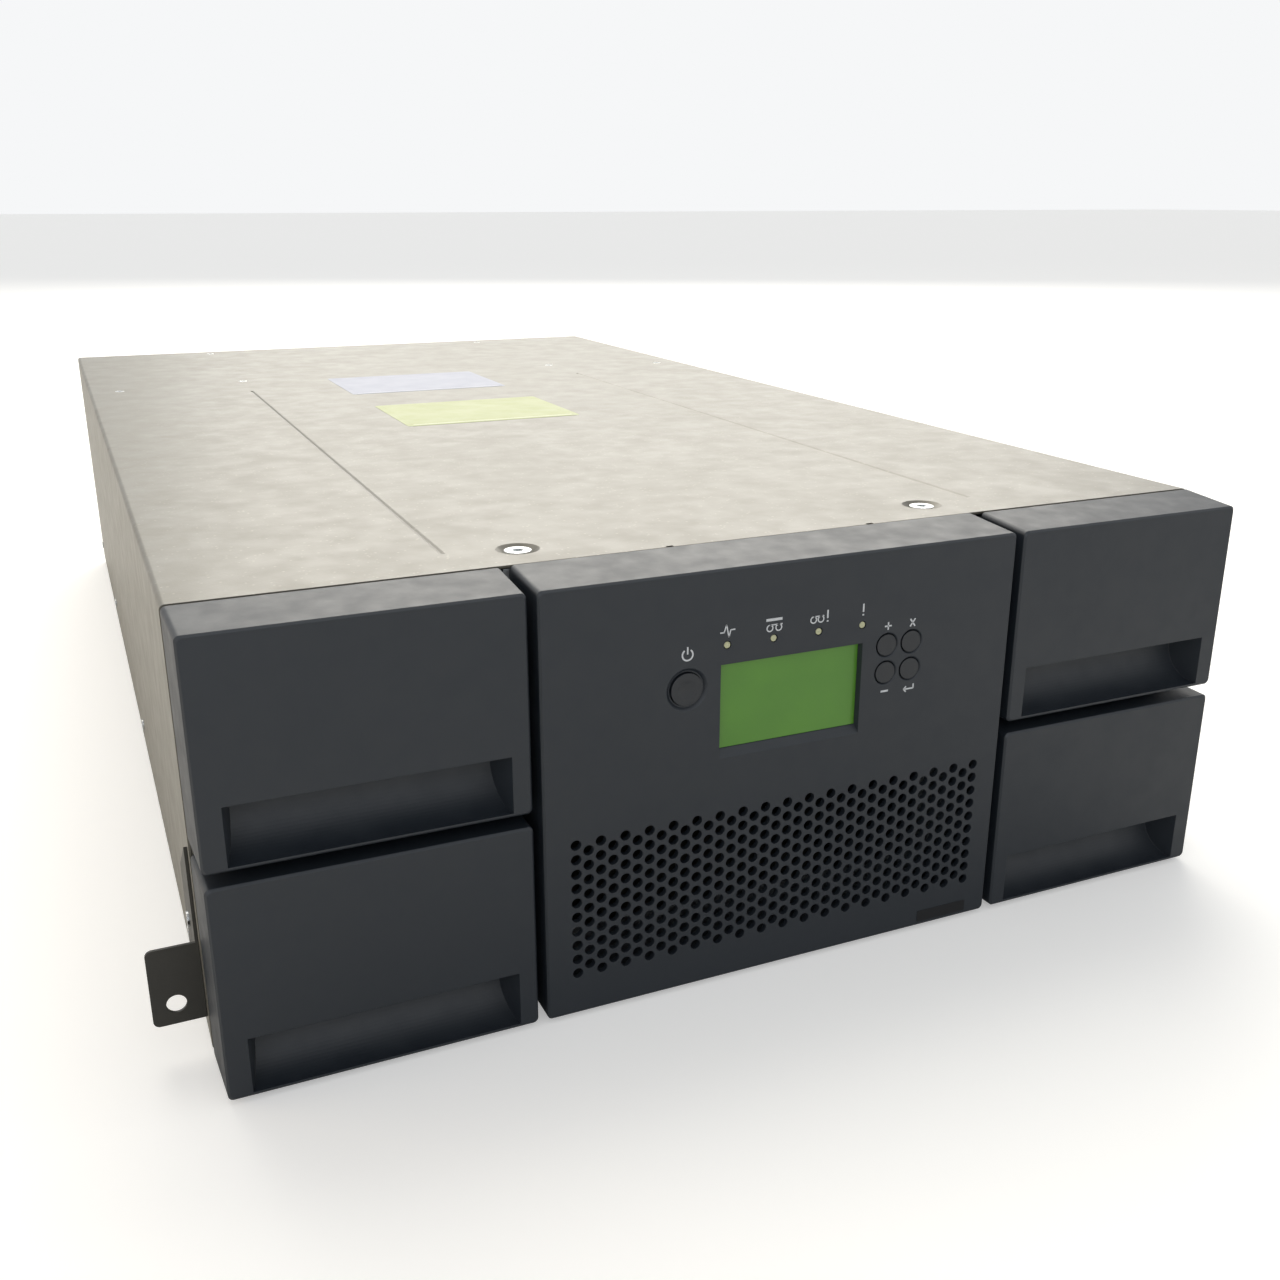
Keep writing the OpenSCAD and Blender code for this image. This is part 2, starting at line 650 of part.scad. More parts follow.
// Moulded magazine front with its scooped grip
module magazine_bezel(side, level) color(plastic) on_side(side) at_level(level) {
  xf = [bezel_in + mould_draft, bezel_out - side_draft];
  xr = [bezel_in, bezel_out - 0.2];
  drop = level == 1 ? top_draft : mould_draft;
  zf = [floor_gap + mould_draft, floor_gap + bezel_h];
  zr = [floor_gap, floor_gap + bezel_h + drop];
  y = [front_y, bezel_back];
  grip_x = [xf[1] - grip_side - grip_w, xf[1] - grip_side];
  grip_z = [floor_gap + grip_lip, floor_gap + grip_lip + grip_h];
  difference() {
    union() {
      difference() {
        drafted(xf, zf, xr, zr, y, edge_r, 0.8);
        drafted_hollow(xf, zf, xr, zr, y, edge_r, bezel_wall);
      }
      intersection() {
        drafted(xf, zf, xr, zr, y, edge_r, 0.8);
        span([grip_x[0] - 2, grip_x[1] + 2], [front_y + 0.5, front_y + grip_d + 2], [0, grip_z[1] + 2]);
      }
      // lugs that hold the tray's nose
      for (lx = [bezel_in + 12, tray_out - 12]) rod_y(lx, tray_z + tray_h - 8, 4, [bezel_inner - eps, tray_front - 0.1]);
    }
    grip_hollow(grip_x, grip_z);
    span([tray_in - 0.3, tray_out + 0.3], [tray_front - 0.1, bezel_back + 1], [tray_z - 0.3, tray_z + tray_h + 0.3]);
  }
}

// Scoop: flat ceiling, back wall that curves out to the lower lip, and drafted cheeks
module grip_hollow(x, z) {
  h = z[1] - z[0];
  bowl = 0.72 * h;
  intersection() {
    translate([x[0], front_y, z[0]]) rotate([90, 0, 90]) linear_extrude(x[1] - x[0]) polygon(concat(
      [[-1, h], [-1, 0]],
      [for (a = [-90:5:0]) [grip_d * cos(a), bowl + bowl * sin(a)]],
      [[grip_d, h]]
    ));
    hull() {
      span([x[0], x[1]], [front_y - 1.5, front_y], [z[0] - 1, z[1] + 1]);
      span([x[0] + 4, x[1] - 4], [front_y + grip_d, front_y + grip_d + 1], [z[0] - 1, z[1] + 1]);
    }
  }
}

// ---------------------------------------------------------------- robot

rail_w = 6;
rack_m = 1.5;
rack_teeth = 12;
rack_add = 0.68;
rack_r = rack_m * rack_teeth / 2;
pinion_at = [tray_in - 19.4, turn_r - 16];
rail_x = pinion_at[0] - rack_r - 12;
rack_x = pinion_at[0] + rack_r;
ring_m = 2;
ring_teeth = 78;
ring_pinion_teeth = 18;
ring_add = 0.8;
ring_centres = ring_m * (ring_teeth + ring_pinion_teeth) / 2;
turn_pinion_at = [-ring_centres * cos(45), ring_centres * sin(45)];
pinion_shaft_r = 1.5;
pivot_r = 10;
screw_at = [post_x + 1, 20];
lift_m = 1.25;
lift_teeth = 12;
lift_centres = lift_m * lift_teeth;
lift_pinion_at = [screw_at[0], screw_at[1] + lift_centres];
bushing_h = 10.4;
cradle_wall_h = 12.4;
bridge_z = cart_z + lift_travel + cart_h + 0.9;
bridge_t = 2;
arm_z = platform_z + bushing_h + lift_travel + 0.8;
arm_t = 2;
lift_motor_r = 6.4;
carriage_half = [tray_in - 9.4, turn_r - 2];
bracket_y = [56, carriage_half[1]];
stage_half = 20;
stage_y = [-80, 20];
stage_travel = (turn_r - 3.5 + cart_x - 22) / 2;

module robot_track() color(steel) {
  both_sides() span([rail_x - rail_w / 2, rail_x + rail_w / 2], [aisle_front + 14, drive_face - 2], [sheet_t, rail_top]);
  translate([rack_x, park_y + pinion_at[1], sheet_t]) linear_extrude(rail_h + 0.8)
    polygon(rack_points(rack_m, -52, 26, rack_add, 5.5));
}

module at_robot() translate([0, park_y, 0]) children();

module carriage() color(zinc) at_robot() difference() {
  union() {
    span([-carriage_half[0], carriage_half[0]], [-carriage_half[1], carriage_half[1]], [carriage_z, carriage_top]);
    for (s = [-1, 1], t = [-1, 1]) translate([s * rail_x, t * 45, 0])
      span([-6, 6], [-12, 12], [sheet_t + 0.3, carriage_z + eps]);
    cylinder_between(pivot_r, carriage_top - eps, turntable_top - 0.2);
    // bent bracket of the turntable's gearmotor, screwed down by its foot
    span([-carriage_half[0], -carriage_half[0] + sheet_t], bracket_y, [carriage_top + seam, bracket_z + sheet_t]);
    span([-carriage_half[0], -carriage_half[0] + 8], bracket_y, [carriage_top + seam, carriage_top + seam + sheet_t]);
    difference() {
      span([-carriage_half[0], turn_pinion_at[0] + motor_r], bracket_y, [bracket_z, bracket_z + sheet_t]);
      cylinder_between(turn_r + 1, bracket_z - 1, bracket_z + 3);
    }
  }
  for (s = [-1, 1], t = [-1, 1]) translate([s * rail_x, t * 45, 0])
    span([-rail_w / 2 - rest_gap, rail_w / 2 + rest_gap], [-13, 13], [0, rail_top + rest_gap]);
  rod_z(pinion_at[0], pinion_at[1], pinion_shaft_r + fit_gap, [0, carriage_top + 1]);
  rod_z(turn_pinion_at[0], turn_pinion_at[1], pinion_shaft_r + fit_gap, [bracket_z - 1, bracket_z + 3]);
  for (s = [-1, 1]) rod_z(s * (rail_x - 27), -55, 12, [0, carriage_top + 1]);
  for (s = [-1, 1]) rod_z(s * (rail_x - 32), 55, 12, [0, carriage_top + 1]);
}
bracket_z = turntable_top + 1.4;
module cylinder_between(r, z0, z1) translate([0, 0, z0]) cylinder(h = z1 - z0, r = r);

module gearmotor(x, y, z, r, h) {
  rod_z(x, y, r, [z, z + h * 0.3]);
  rod_z(x, y, r - 0.8, [z + h * 0.3 - eps, z + h]);
}

module carriage_motors() color("#55585c") at_robot() {
  gearmotor(pinion_at[0], pinion_at[1], carriage_top, motor_r, motor_h);
  gearmotor(turn_pinion_at[0], turn_pinion_at[1], bracket_z + 1.2, motor_r, motor_h);
}

module carriage_pinion() color("#c8b27a") at_robot() translate([pinion_at[0], pinion_at[1], 0]) {
  translate([0, 0, sheet_t + 0.5]) gear(rack_m, rack_teeth, rack_add, rail_h + 0.2, 0);
  cylinder_between(pinion_shaft_r, sheet_t + 0.5, carriage_top - 0.1);
}

module turntable_pinion() color("#c8b27a") at_robot() translate([turn_pinion_at[0], turn_pinion_at[1], 0]) {
  translate([0, 0, turntable_z]) rotate(180 / ring_pinion_teeth - 45)
    gear(ring_m, ring_pinion_teeth, ring_add, turntable_t, 0);
  cylinder_between(pinion_shaft_r, turntable_z, bracket_z + 1.1);
}

module turntable() color(grey_plastic) at_robot() difference() {
  translate([0, 0, turntable_z]) rotate(135) gear(ring_m, ring_teeth, ring_add, turntable_t, pivot_r + fit_gap);
  for (a = [0:60:300]) rotate(a + 30) rod_z(38, 0, 10, [turntable_z - 1, turntable_top + 1]);
  rod_z(screw_at[0], screw_at[1], 2.5 + fit_gap, [turntable_top - 1, turntable_top + 1]);
}

// Two posts joined over the top, with the arm that carries the screw's gears
module lift_mast() color(zinc) at_robot() difference() {
  intersection() {
    union() {
      for (s = [-1, 1]) rod_z(s * post_x, 0, post_r, [turntable_top, bridge_z + eps]);
      span([-post_x - 7, post_x + 7], [-6, 6], [bridge_z, bridge_z + bridge_t]);
      span([cradle_out + 0.7, post_x + 7], [-6, lift_pinion_at[1] + 9], [bridge_z, bridge_z + bridge_t]);
      span([cradle_out + 0.7, post_x + 7], [9, 10.2], [arm_z, bridge_z + eps]);
      span([cradle_out + 0.7, post_x + 10], [9, lift_pinion_at[1] + 9], [arm_z, arm_z + arm_t]);
    }
    cylinder_between(turn_r - 0.5, 0, body_h);
  }
  rod_z(screw_at[0], screw_at[1], 2.5 + fit_gap, [arm_z - 1, arm_z + arm_t + 1]);
  rod_z(lift_pinion_at[0], lift_pinion_at[1], pinion_shaft_r + fit_gap, [arm_z - 1, arm_z + arm_t + 1]);
}

module lead_screw() color(steel) at_robot() translate([screw_at[0], screw_at[1], 0]) {
  cylinder_between(2.5, turntable_top - 0.9, arm_z + arm_t + 4);
  cylinder_between(screw_r, turntable_top + 0.1, arm_z - 0.2);
  translate([0, 0, arm_z + arm_t + 0.3]) gear(lift_m, lift_teeth, rack_add, 3, 0);
}

module lift_pinion() color("#c8b27a") at_robot() translate([lift_pinion_at[0], lift_pinion_at[1], 0]) {
  cylinder_between(pinion_shaft_r, arm_z + 0.1, arm_z + arm_t + 4);
  translate([0, 0, arm_z + arm_t + 0.3]) rotate(180 / lift_teeth) gear(lift_m, lift_teeth, rack_add, 3, 0);
}

module lift_motor() color("#55585c") at_robot() difference() {
  gearmotor(lift_pinion_at[0], lift_pinion_at[1], arm_z - 32, lift_motor_r, 32);
  rod_z(lift_pinion_at[0], lift_pinion_at[1], 2, [arm_z - 0.5, arm_z + 1]);
}

module lift_platform() color(grey_plastic) at_robot() {
  intersection() {
    union() {
      // floor with its windows, and the two walls of the cradle
      difference() {
        span([seam - cradle_in, cradle_in - seam], [-turn_r, turn_r], [platform_z, platform_z + platform_t]);
        for (s = [-1, 1]) span([s * 38 - 9, s * 38 + 9], [-40, 40], [platform_z - 1, platform_z + platform_t + 1]);
      }
      both_sides() span([cradle_in, cradle_out], [-turn_r, turn_r], [platform_z, platform_z + cradle_wall_h]);
    }
    cylinder_between(turn_r - 1, 0, body_h);
  }
  both_sides() span([stage_half + 0.2, stage_half + 3], [-78, 78], [platform_z + platform_t + seam, stage_z + 0.9]);
  // bushings on the posts and the nut on the screw, fixed to the walls
  difference() {
    both_sides() rod_z(post_x, 0, 7, [platform_z, platform_z + bushing_h]);
    both_sides() span([0, cradle_out + seam], [-8, 8], [platform_z - 1, platform_z + bushing_h + 1]);
    both_sides() rod_z(post_x, 0, post_r + fit_gap, [platform_z - 1, platform_z + bushing_h + 1]);
  }
  difference() {
    span([cradle_out + seam, screw_at[0] + 5.5], [screw_at[1] - 6.5, screw_at[1] + 6.5], [platform_z, platform_z + bushing_h]);
    rod_z(screw_at[0], screw_at[1], screw_r + 0.1, [platform_z - 1, platform_z + bushing_h + 1]);
  }
}

module picker_stage() color(zinc) at_robot() difference() {
  span([-stage_half, stage_half], stage_y, [stage_z, stage_z + stage_t]);
  span([-8, 8], [stage_y[0] + 30, stage_y[1] - 12], [stage_z - 1, stage_z + stage_t + 1]);
}

finger_out = cradle_in - finger_gap;
finger_in = finger_out - finger_t;
picker_y = 0.5 - turn_r + 4.5;
grip_y = -cart_x / 2;

module picker() color("#3d4146") at_robot() {
  span([-12, 12], [picker_y, picker_y + 20], [picker_z, picker_z + 1.2 + eps]);
  span([-24, 24], [picker_y, grip_y - 2], [picker_z + 1.2, picker_z + 16]);
  span([-finger_out, finger_out], [grip_y - 12, grip_y - 4], [picker_z + 1.2, picker_z + 16]);
  both_sides() span([finger_in, finger_out], [grip_y - 5, grip_y + 8], [picker_z + 3, picker_z + 16]);
}

module barcode_reader() color("#1d2023") at_robot() difference() {
  span([-15, 15], [picker_y + 2, grip_y - 8], [picker_z + 16, picker_z + 21]);
  span([-12, 12], [grip_y - 9, grip_y - 7], [picker_z + 17, picker_z + 20]);
}

// ---------------------------------------------------------------- drives

sled_base = 2 * sheet_t;
cage_top = frame_top - 0.8;
sled_pitch = (cage_top - sled_base - sheet_t) / 2;
drive_h = sled_pitch - drive_clear;
cage_front = drive_face + 12;
drive_z = sled_t;
mouth_z = [34, 59.5];
mouth_half = 56.5;
casing_t = 1.5;
drive_front = drive_face + 0.4;
door_axis = [drive_front + 3.1, mouth_z[1] + 1.7];
sled_face = shell_rear + 0.2;
drive_fan_at = [-45, 42];
drive_fan_t = 12;
drive_rotor_t = 8.6;
psu_fan_t = 20;
psu_rotor_t = 14;
fan_shaft_r = 1.5;
rotor_back = 2.4;    // from the back of a fan's frame to its rotor
hub_end = 2;         // closed end of a rotor's hub

module at_sled(i) translate([0, 0, sled_base + i * sled_pitch]) children();

module drive_cage() color(zinc) {
  y = [cage_front, shell_rear - sheet_t];
  windows = [for (z = [30, 112], front = [cage_front + 30, cage_front + 100]) [front, z]];
  both_sides() difference() {
    span([cage_in, cage_out], y, [sheet_t, cage_top]);
    for (w = windows) span([cage_in - 1, cage_out + 1], [w[0], w[0] + 50], [w[1], w[1] + 32]);
  }
  span([-cage_out, cage_out], y, [cage_top + seam, cage_top + seam + 0.8]);
  // runners under the two sleds, and the foot that carries the inner edges of the rear modules
  for (i = [0, 1]) both_sides() span([sled_half - 7, cage_in - seam], y,
    [i == 0 ? sheet_t : sled_base + sled_pitch - 1.1, sled_base + i * sled_pitch - rest_gap]);
  both_sides() span([cage_out + seam, cage_out + 10], [mid_y + 12, y[1]], [sheet_t, 2 * sheet_t]);
}

// Sheet tray with its rear plate, fan frame, handle and captive screws
module drive_sled(i) color(zinc) at_sled(i) {
  // folded tray with the brackets at the drive's sides
  span([-sled_half, sled_half], [drive_face + 4, sled_face - seam], [0, sled_t]);
  both_sides() span([sled_half - sled_t, sled_half], [drive_face + 4, sled_face - seam], [sled_t - eps, 34]);
  both_sides() span([drive_w / 2 + 0.2, sled_half - sled_t - seam], [drive_front + 40, drive_front + 60], [sled_t + seam, 20]);
  // rear plate
  difference() {
    span([-sled_half - 3, sled_half + 3], [sled_face, sled_face + sheet_t], [-0.6, drive_h + 1.4]);
    fan_opening(drive_fan_at[0], drive_fan_at[1], fan_r, sled_face + sheet_t);
    for (x = port_x, z = port_z) span([x - 13, x + 13], [sled_face - 6, sled_face + 3], [z - 4.5, z + 4.5]);
  }
  fan_frame(drive_fan_at[0], drive_fan_at[1], fan_r, sled_face - seam, drive_fan_t, drive_rotor_t);
  // handle and thumbscrews
  for (z = [22, 62]) span([60, 64], [sled_face + sheet_t + seam, rear_y - 2.4 + eps], [z - 2, z + 2]);
  span([60, 64], [rear_y - 2.4, rear_y], [20, 64]);
  for (z = [8, drive_h - 6.2]) rod_y(3 - drive_w / 2, z, 4, [sled_face + sheet_t + seam, rear_y - 0.4]);
}
port_x = [22];
port_z = [32, 52];

// Square fan housing in front of a rear plate, its spider at the far side
module fan_frame(x, z, r, y, depth, rotor_t) {
  difference() {
    span([x - r - 1.5, x + r + 1.5], [y - depth, y + eps], [z - r - 1.5, z + r + 1.5]);
    rod_y(x, z, r, [y - depth - 1, y + 1]);
  }
  rod_y(x, z, r * 0.42, [y - depth, y - depth + 2]);
  for (a = [0, 120, 240]) translate([x, 0, z]) rotate([0, a, 0])
    span([-1.2, 1.2], [y - depth, y - depth + 1.2], [0, r + 0.5]);
  rod_y(x, z, fan_shaft_r, [y - depth, y - depth + rotor_back + rotor_t - hub_end - 0.3]);
}

// Guard of concentric rings cut through a rear plate
module fan_opening(x, z, r, y) {
  difference() {
    rod_y(x, z, r, [y - sheet_t - eps, y + 1]);
    for (k = [0.24, 0.5, 0.76]) difference() {
      rod_y(x, z, r * k + 0.7, [y - sheet_t - 1, y + 2]);
      rod_y(x, z, r * k - 0.7, [y - sheet_t - 2, y + 3]);
    }
    for (a = [45, 135]) translate([x, 0, z]) rotate([0, a, 0])
      span([-0.8, 0.8], [y - sheet_t - 1, y + 2], [-r - 1, r + 1]);
  }
}

module rotor(x, z, r, y, depth, blades) color("#222529") {
  translate([x, y, z]) rotate([-90, 0, 0]) difference() {
    union() {
      cylinder(h = depth, r = r * 0.42);
      intersection() {
        cylinder(h = depth, r = r - 0.8);
        for (a = [0:360 / blades:359]) rotate(a) translate([0, 0, depth / 2]) rotate([38, 0, 0])
          translate([r * 0.3, -0.5, -depth]) cube([r, 1, 2 * depth]);
      }
    }
    translate([0, 0, -1]) cylinder(h = depth + 1 - hub_end, r = fan_shaft_r + fit_gap);
  }
}

module drive_fan(i) at_sled(i)
  rotor(drive_fan_at[0], drive_fan_at[1], fan_r, sled_face - drive_fan_t + rotor_back, drive_rotor_t, 7);

// Steel casing with a cartridge mouth over its deck
module tape_drive(i) color("#7d8288") at_sled(i) translate([0, 0, drive_z]) difference() {
  union() {
    difference() {
      span([-drive_w / 2, drive_w / 2], [drive_front, drive_front + drive_l], [0, drive_h]);
      span([-drive_w / 2 + casing_t, drive_w / 2 - casing_t],
        [drive_front + casing_t, drive_front + drive_l - casing_t], [casing_t, drive_h - casing_t]);
    }
    // deck under the mouth, head block and reel motor
    span([-drive_w / 2 + 1, drive_w / 2 - 1], [drive_front + 1, drive_front + drive_l - 1], [mouth_z[0] - 5, mouth_z[0] - 1]);
    span([-30, 30], [drive_front + 128, drive_front + 168], [mouth_z[0] - 2, mouth_z[1] - 4]);
    rod_z(0, drive_front + 62, 24, [casing_t - eps, mouth_z[0] - 4]);
    // ears of the door's hinge
    both_sides() span([mouth_half + 1.5, mouth_half + 3.5], [drive_front + casing_t - eps, door_axis[0] + 2],
      [door_axis[1] - 2.2, door_axis[1] + 2.2]);
  }
  span([-mouth_half, mouth_half], [drive_front - 1, drive_front + casing_t + 0.1], mouth_z);
  rod_x(door_axis[0], door_axis[1], 1 + fit_gap, [-mouth_half - 5, mouth_half + 5]);
}

module drive_door(i) color("#33373c") at_sled(i) translate([0, 0, drive_z]) {
  rod_x(door_axis[0], door_axis[1], 1.4, [-mouth_half - 1, mouth_half + 1]);
  rod_x(door_axis[0], door_axis[1], 1, [-mouth_half - 3.4, mouth_half + 3.4]);
  span([-mouth_half - 1, mouth_half + 1], [door_axis[0] - 1.4, door_axis[0] - 0.2], [mouth_z[0] - 0.6, door_axis[1]]);
}

// ---------------------------------------------------------------- rear

module_w = side_in - cage_out - 6 - module_gap;
psu_x = [-cage_out - 6 - module_w, -cage_out - 6];
inlet_half = 16;
psu_margin = (module_w - 2 * psu_fan_r - 2 * inlet_half) / 4;
psu_z = [2 * sheet_t, 2 * sheet_t + psu_h];
psu_face = shell_rear + 0.2;
psu_front = mid_y + 12;
psu_fan_at = [psu_x[1] - psu_fan_r - psu_margin, psu_z[0] + psu_h / 2];
inlet_at = [psu_x[0] + inlet_half + psu_margin, psu_z[0] + 24];
controller_x = [cage_out + 6, cage_out + 6 + module_w];
controller_z = [2 * sheet_t, 2 * sheet_t + controller_h];

module mid_frame() color(zinc) difference() {
  union() {
    both_sides() span([cage_out + 0.4, guide_in - 0.2], [mid_y, mid_y + sheet_t], [sheet_t, frame_top - 0.8]);
    both_sides() span([cage_out + 0.4, guide_in - 0.2], [mid_y, mid_y + 16], [frame_top - 0.8 - eps, frame_top + 0.3]);
    both_sides() span([guide_in - 32, guide_in - 0.2], [mid_y - 20, mid_y + 2], [frame_top - 0.8, frame_top + 0.3]);
    both_sides() span([cage_out + 0.4, guide_in - 0.2], [mid_y, mid_y + 10], [sheet_t, 2 * sheet_t]);
    // runners under the outer edges of the rear modules
    both_sides() span([guide_in - 14, guide_in - 0.2], [mid_y, shell_rear - sheet_t - skin_gap], [sheet_t, 2 * sheet_t]);
  }
  both_sides() span([cage_out + 16, guide_in - 14], [mid_y - 1, mid_y + sheet_t + 1],
    [100, frame_top - 13.6]);
  both_sides() for (p = [small_screws[1], small_screws[2]])
    rod_z(p[0], p[1], small_shank_r + 0.2, [frame_top - 4, frame_top + 1]);
}

module rear_panel() color(paint) difference() {
  union() {
    span([-side_in + 0.1, side_in - 0.1], [shell_rear - sheet_t, shell_rear], [sheet_t, frame_top]);
    both_sides() span([cage_out + 4, side_in - 10], [shell_rear - 22, shell_rear], [frame_top - sheet_t, frame_top]);
  }
  span([-sled_half - 0.6, sled_half + 0.6], [shell_rear - 3, shell_rear + 1], [1.6, sled_base + 2 * sled_pitch - 0.4]);
  span([psu_x[0] - 0.6, psu_x[1] + 0.6], [shell_rear - 3, shell_rear + 1], [psu_z[0] - 0.6, psu_z[1] + 0.6]);
  span([controller_x[0] - 0.6, controller_x[1] + 0.6], [shell_rear - 3, shell_rear + 1],
    [controller_z[0] - 0.6, controller_z[1] + 0.6]);
  // vent slots over the modules
  for (x = [cage_out + 16:13:side_in - 13]) both_sides()
    span([x, x + 4], [shell_rear - 3, shell_rear + 1], [frame_top - 61.6, frame_top - 23.6]);
  both_sides() for (x = [cage_out + 10]) rod_y(x, 100, 3, [shell_rear - 3, shell_rear + 1]);
  both_sides() rod_z(small_screws[0][0], small_screws[0][1], small_shank_r + 0.2, [frame_top - 4, frame_top + 1]);
}

module power_supply() color(zinc) difference() {
  union() {
    difference() {
      span(psu_x, [psu_front, psu_face], psu_z);
      span([psu_x[0] + 1, psu_x[1] - 1], [psu_front + 1, psu_face - 0.2], [psu_z[0] + 1, psu_z[1] - 1]);
    }
    span([psu_x[0] - 3, psu_x[1] + 3], [psu_face, psu_face + sheet_t], [psu_z[0] - 0.7, psu_z[1] + 3]);
    span([psu_x[0] + 12, psu_x[0] + 52], [psu_front + 20, psu_front + 90], [psu_z[0] + 0.5, psu_z[0] + 46]);
    fan_frame(psu_fan_at[0], psu_fan_at[1], psu_fan_r, psu_face, psu_fan_t, psu_rotor_t);
    for (x = [-16, 16]) span([inlet_at[0] + x - 2, inlet_at[0] + x + 2],
      [psu_face + sheet_t - eps, rear_y], [psu_z[1] - 16, psu_z[1] - 12]);
    span([inlet_at[0] - 18, inlet_at[0] + 18], [rear_y - 2.4, rear_y], [psu_z[1] - 16, psu_z[1] - 12]);
  }
  fan_opening(psu_fan_at[0], psu_fan_at[1], psu_fan_r, psu_face + sheet_t);
  span([inlet_at[0] - 14, inlet_at[0] + 14], [psu_face - 2, psu_face + 3], [inlet_at[1] - 10, inlet_at[1] + 10]);
}

// Three-pin mains inlet
module power_inlet() color("#17191b") {
  x = inlet_at[0];
  z = inlet_at[1];
  difference() {
    union() {
      span([x - 13.8, x + 13.8], [psu_face - 18, psu_face + sheet_t], [z - 9.8, z + 9.8]);
      plate_y([psu_face + sheet_t + 0.05, psu_face + sheet_t + 1.6]) rounded([x - inlet_half, x + inlet_half], [z - 12, z + 12], 3);
      span([x - 13, x + 13], [psu_face + sheet_t - eps, psu_face + sheet_t + 0.5], [z - 9, z + 9]);
    }
    span([x - 12, x + 12], [psu_face - 15, psu_face + 5], [z - 8, z + 8]);
  }
  for (p = [[-7, -2], [0, 2], [7, -2]])
    span([x + p[0] - 1, x + p[0] + 1], [psu_face - 15 - eps, psu_face - 1], [z + p[1] - 2, z + p[1] + 2]);
}

module power_supply_fan()
  rotor(psu_fan_at[0], psu_fan_at[1], psu_fan_r, psu_face - psu_fan_t + rotor_back, psu_rotor_t, 7);

module controller_tray() color(zinc) {
  span(controller_x, [mid_y + 30, psu_face], [controller_z[0], controller_z[0] + 1]);
  for (x = [controller_x[0], controller_x[1] - 1])
    span([x, x + 1], [mid_y + 30, psu_face], [controller_z[0], controller_z[1] - 6]);
  difference() {
    union() {
      span([controller_x[0] - 3, controller_x[1] + 3], [psu_face, psu_face + sheet_t],
        [controller_z[0] - 0.7, controller_z[1] + 3]);
      for (x = [controller_x[0] + 6, controller_x[1] - 6])
        rod_y(x, controller_z[1] - 8, 4, [psu_face + sheet_t - eps, rear_y - 0.4]);
    }
    for (p = controller_sockets) span([p[0] - p[1] / 2 - 0.3, p[0] + p[1] / 2 + 0.3], [psu_face - 1, psu_face + 3],
      [controller_z[0] + 3.7, controller_z[0] + 4.3 + p[2]]);
  }
}

// Centre, width and height of each socket on the controller
controller_mid = (controller_x[0] + controller_x[1]) / 2;
controller_sockets = [
  [controller_mid - 40, 16, 13.5], [controller_mid - 18, 16, 13.5],
  [controller_mid + 4, 14, 6.5], [controller_mid + 32, 31, 12]
];

// Board with the network, service and serial sockets along its rear edge
module controller_ports() color(steel) {
  span([controller_x[0] + 3, controller_x[1] - 3], [mid_y + 40, psu_face - 0.3], [controller_z[0] + 2.4, controller_z[0] + 4]);
  for (y = [mid_y + 50, psu_face - 30], x = [controller_x[0] + 8, controller_x[1] - 8])
    rod_z(x, y, 2.5, [controller_z[0] + 1, controller_z[0] + 2.4 + eps]);
  for (p = controller_sockets) difference() {
    span([p[0] - p[1] / 2, p[0] + p[1] / 2], [psu_face - 16, psu_face + sheet_t], [controller_z[0] + 4 - eps, controller_z[0] + 4 + p[2]]);
    span([p[0] - p[1] / 2 + 1, p[0] + p[1] / 2 - 1], [psu_face - 13, psu_face + 3],
      [controller_z[0] + 5, controller_z[0] + 3 + p[2]]);
  }
}

// ---------------------------------------------------------------- nodes

chassis_tray();
rear_panel();
top_cover();
housing_screws();
front_bezel();
front_frame();
mid_frame();
lcd_module();
lcd_window();
panel_board();
status_leds();
rack_ear(-1);  // rack_ear_left
rack_ear(1);  // rack_ear_right
magazine_bay(-1);  // magazine_bay_left
magazine_bay(1);  // magazine_bay_right
robot_track();
drive_cage();
magazine_tray(-1, 0);  // magazine_tray_left_lower
magazine_tray(-1, 1);  // magazine_tray_left_upper
magazine_tray(1, 0);  // magazine_tray_right_lower
magazine_tray(1, 1);  // magazine_tray_right_upper
magazine_bezel(-1, 0);  // magazine_bezel_left_lower
magazine_bezel(-1, 1);  // magazine_bezel_left_upper
magazine_bezel(1, 0);  // magazine_bezel_right_lower
magazine_bezel(1, 1);  // magazine_bezel_right_upper
cartridges(-1, 0);  // cartridges_left_lower
cartridges(-1, 1);  // cartridges_left_upper
cartridges(1, 0);  // cartridges_right_lower
cartridges(1, 1);  // cartridges_right_upper
power_button();
menu_key(0);  // key_plus
menu_key(1);  // key_cancel
menu_key(2);  // key_minus
menu_key(3);  // key_enter
carriage();
carriage_motors();
carriage_pinion();
turntable();
turntable_pinion();
lift_mast();
lead_screw();
lift_motor();
lift_pinion();
lift_platform();
picker_stage();
picker();
barcode_reader();
drive_sled(0);  // drive_sled_lower
drive_sled(1);  // drive_sled_upper
tape_drive(0);  // tape_drive_lower
tape_drive(1);  // tape_drive_upper
drive_door(0);  // drive_door_lower
drive_door(1);  // drive_door_upper
drive_fan(0);  // drive_fan_lower
drive_fan(1);  // drive_fan_upper
power_supply();
power_inlet();
power_supply_fan();
controller_tray();
controller_ports();
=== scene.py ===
import math

import bmesh
import bpy
from mathutils import Matrix, Vector


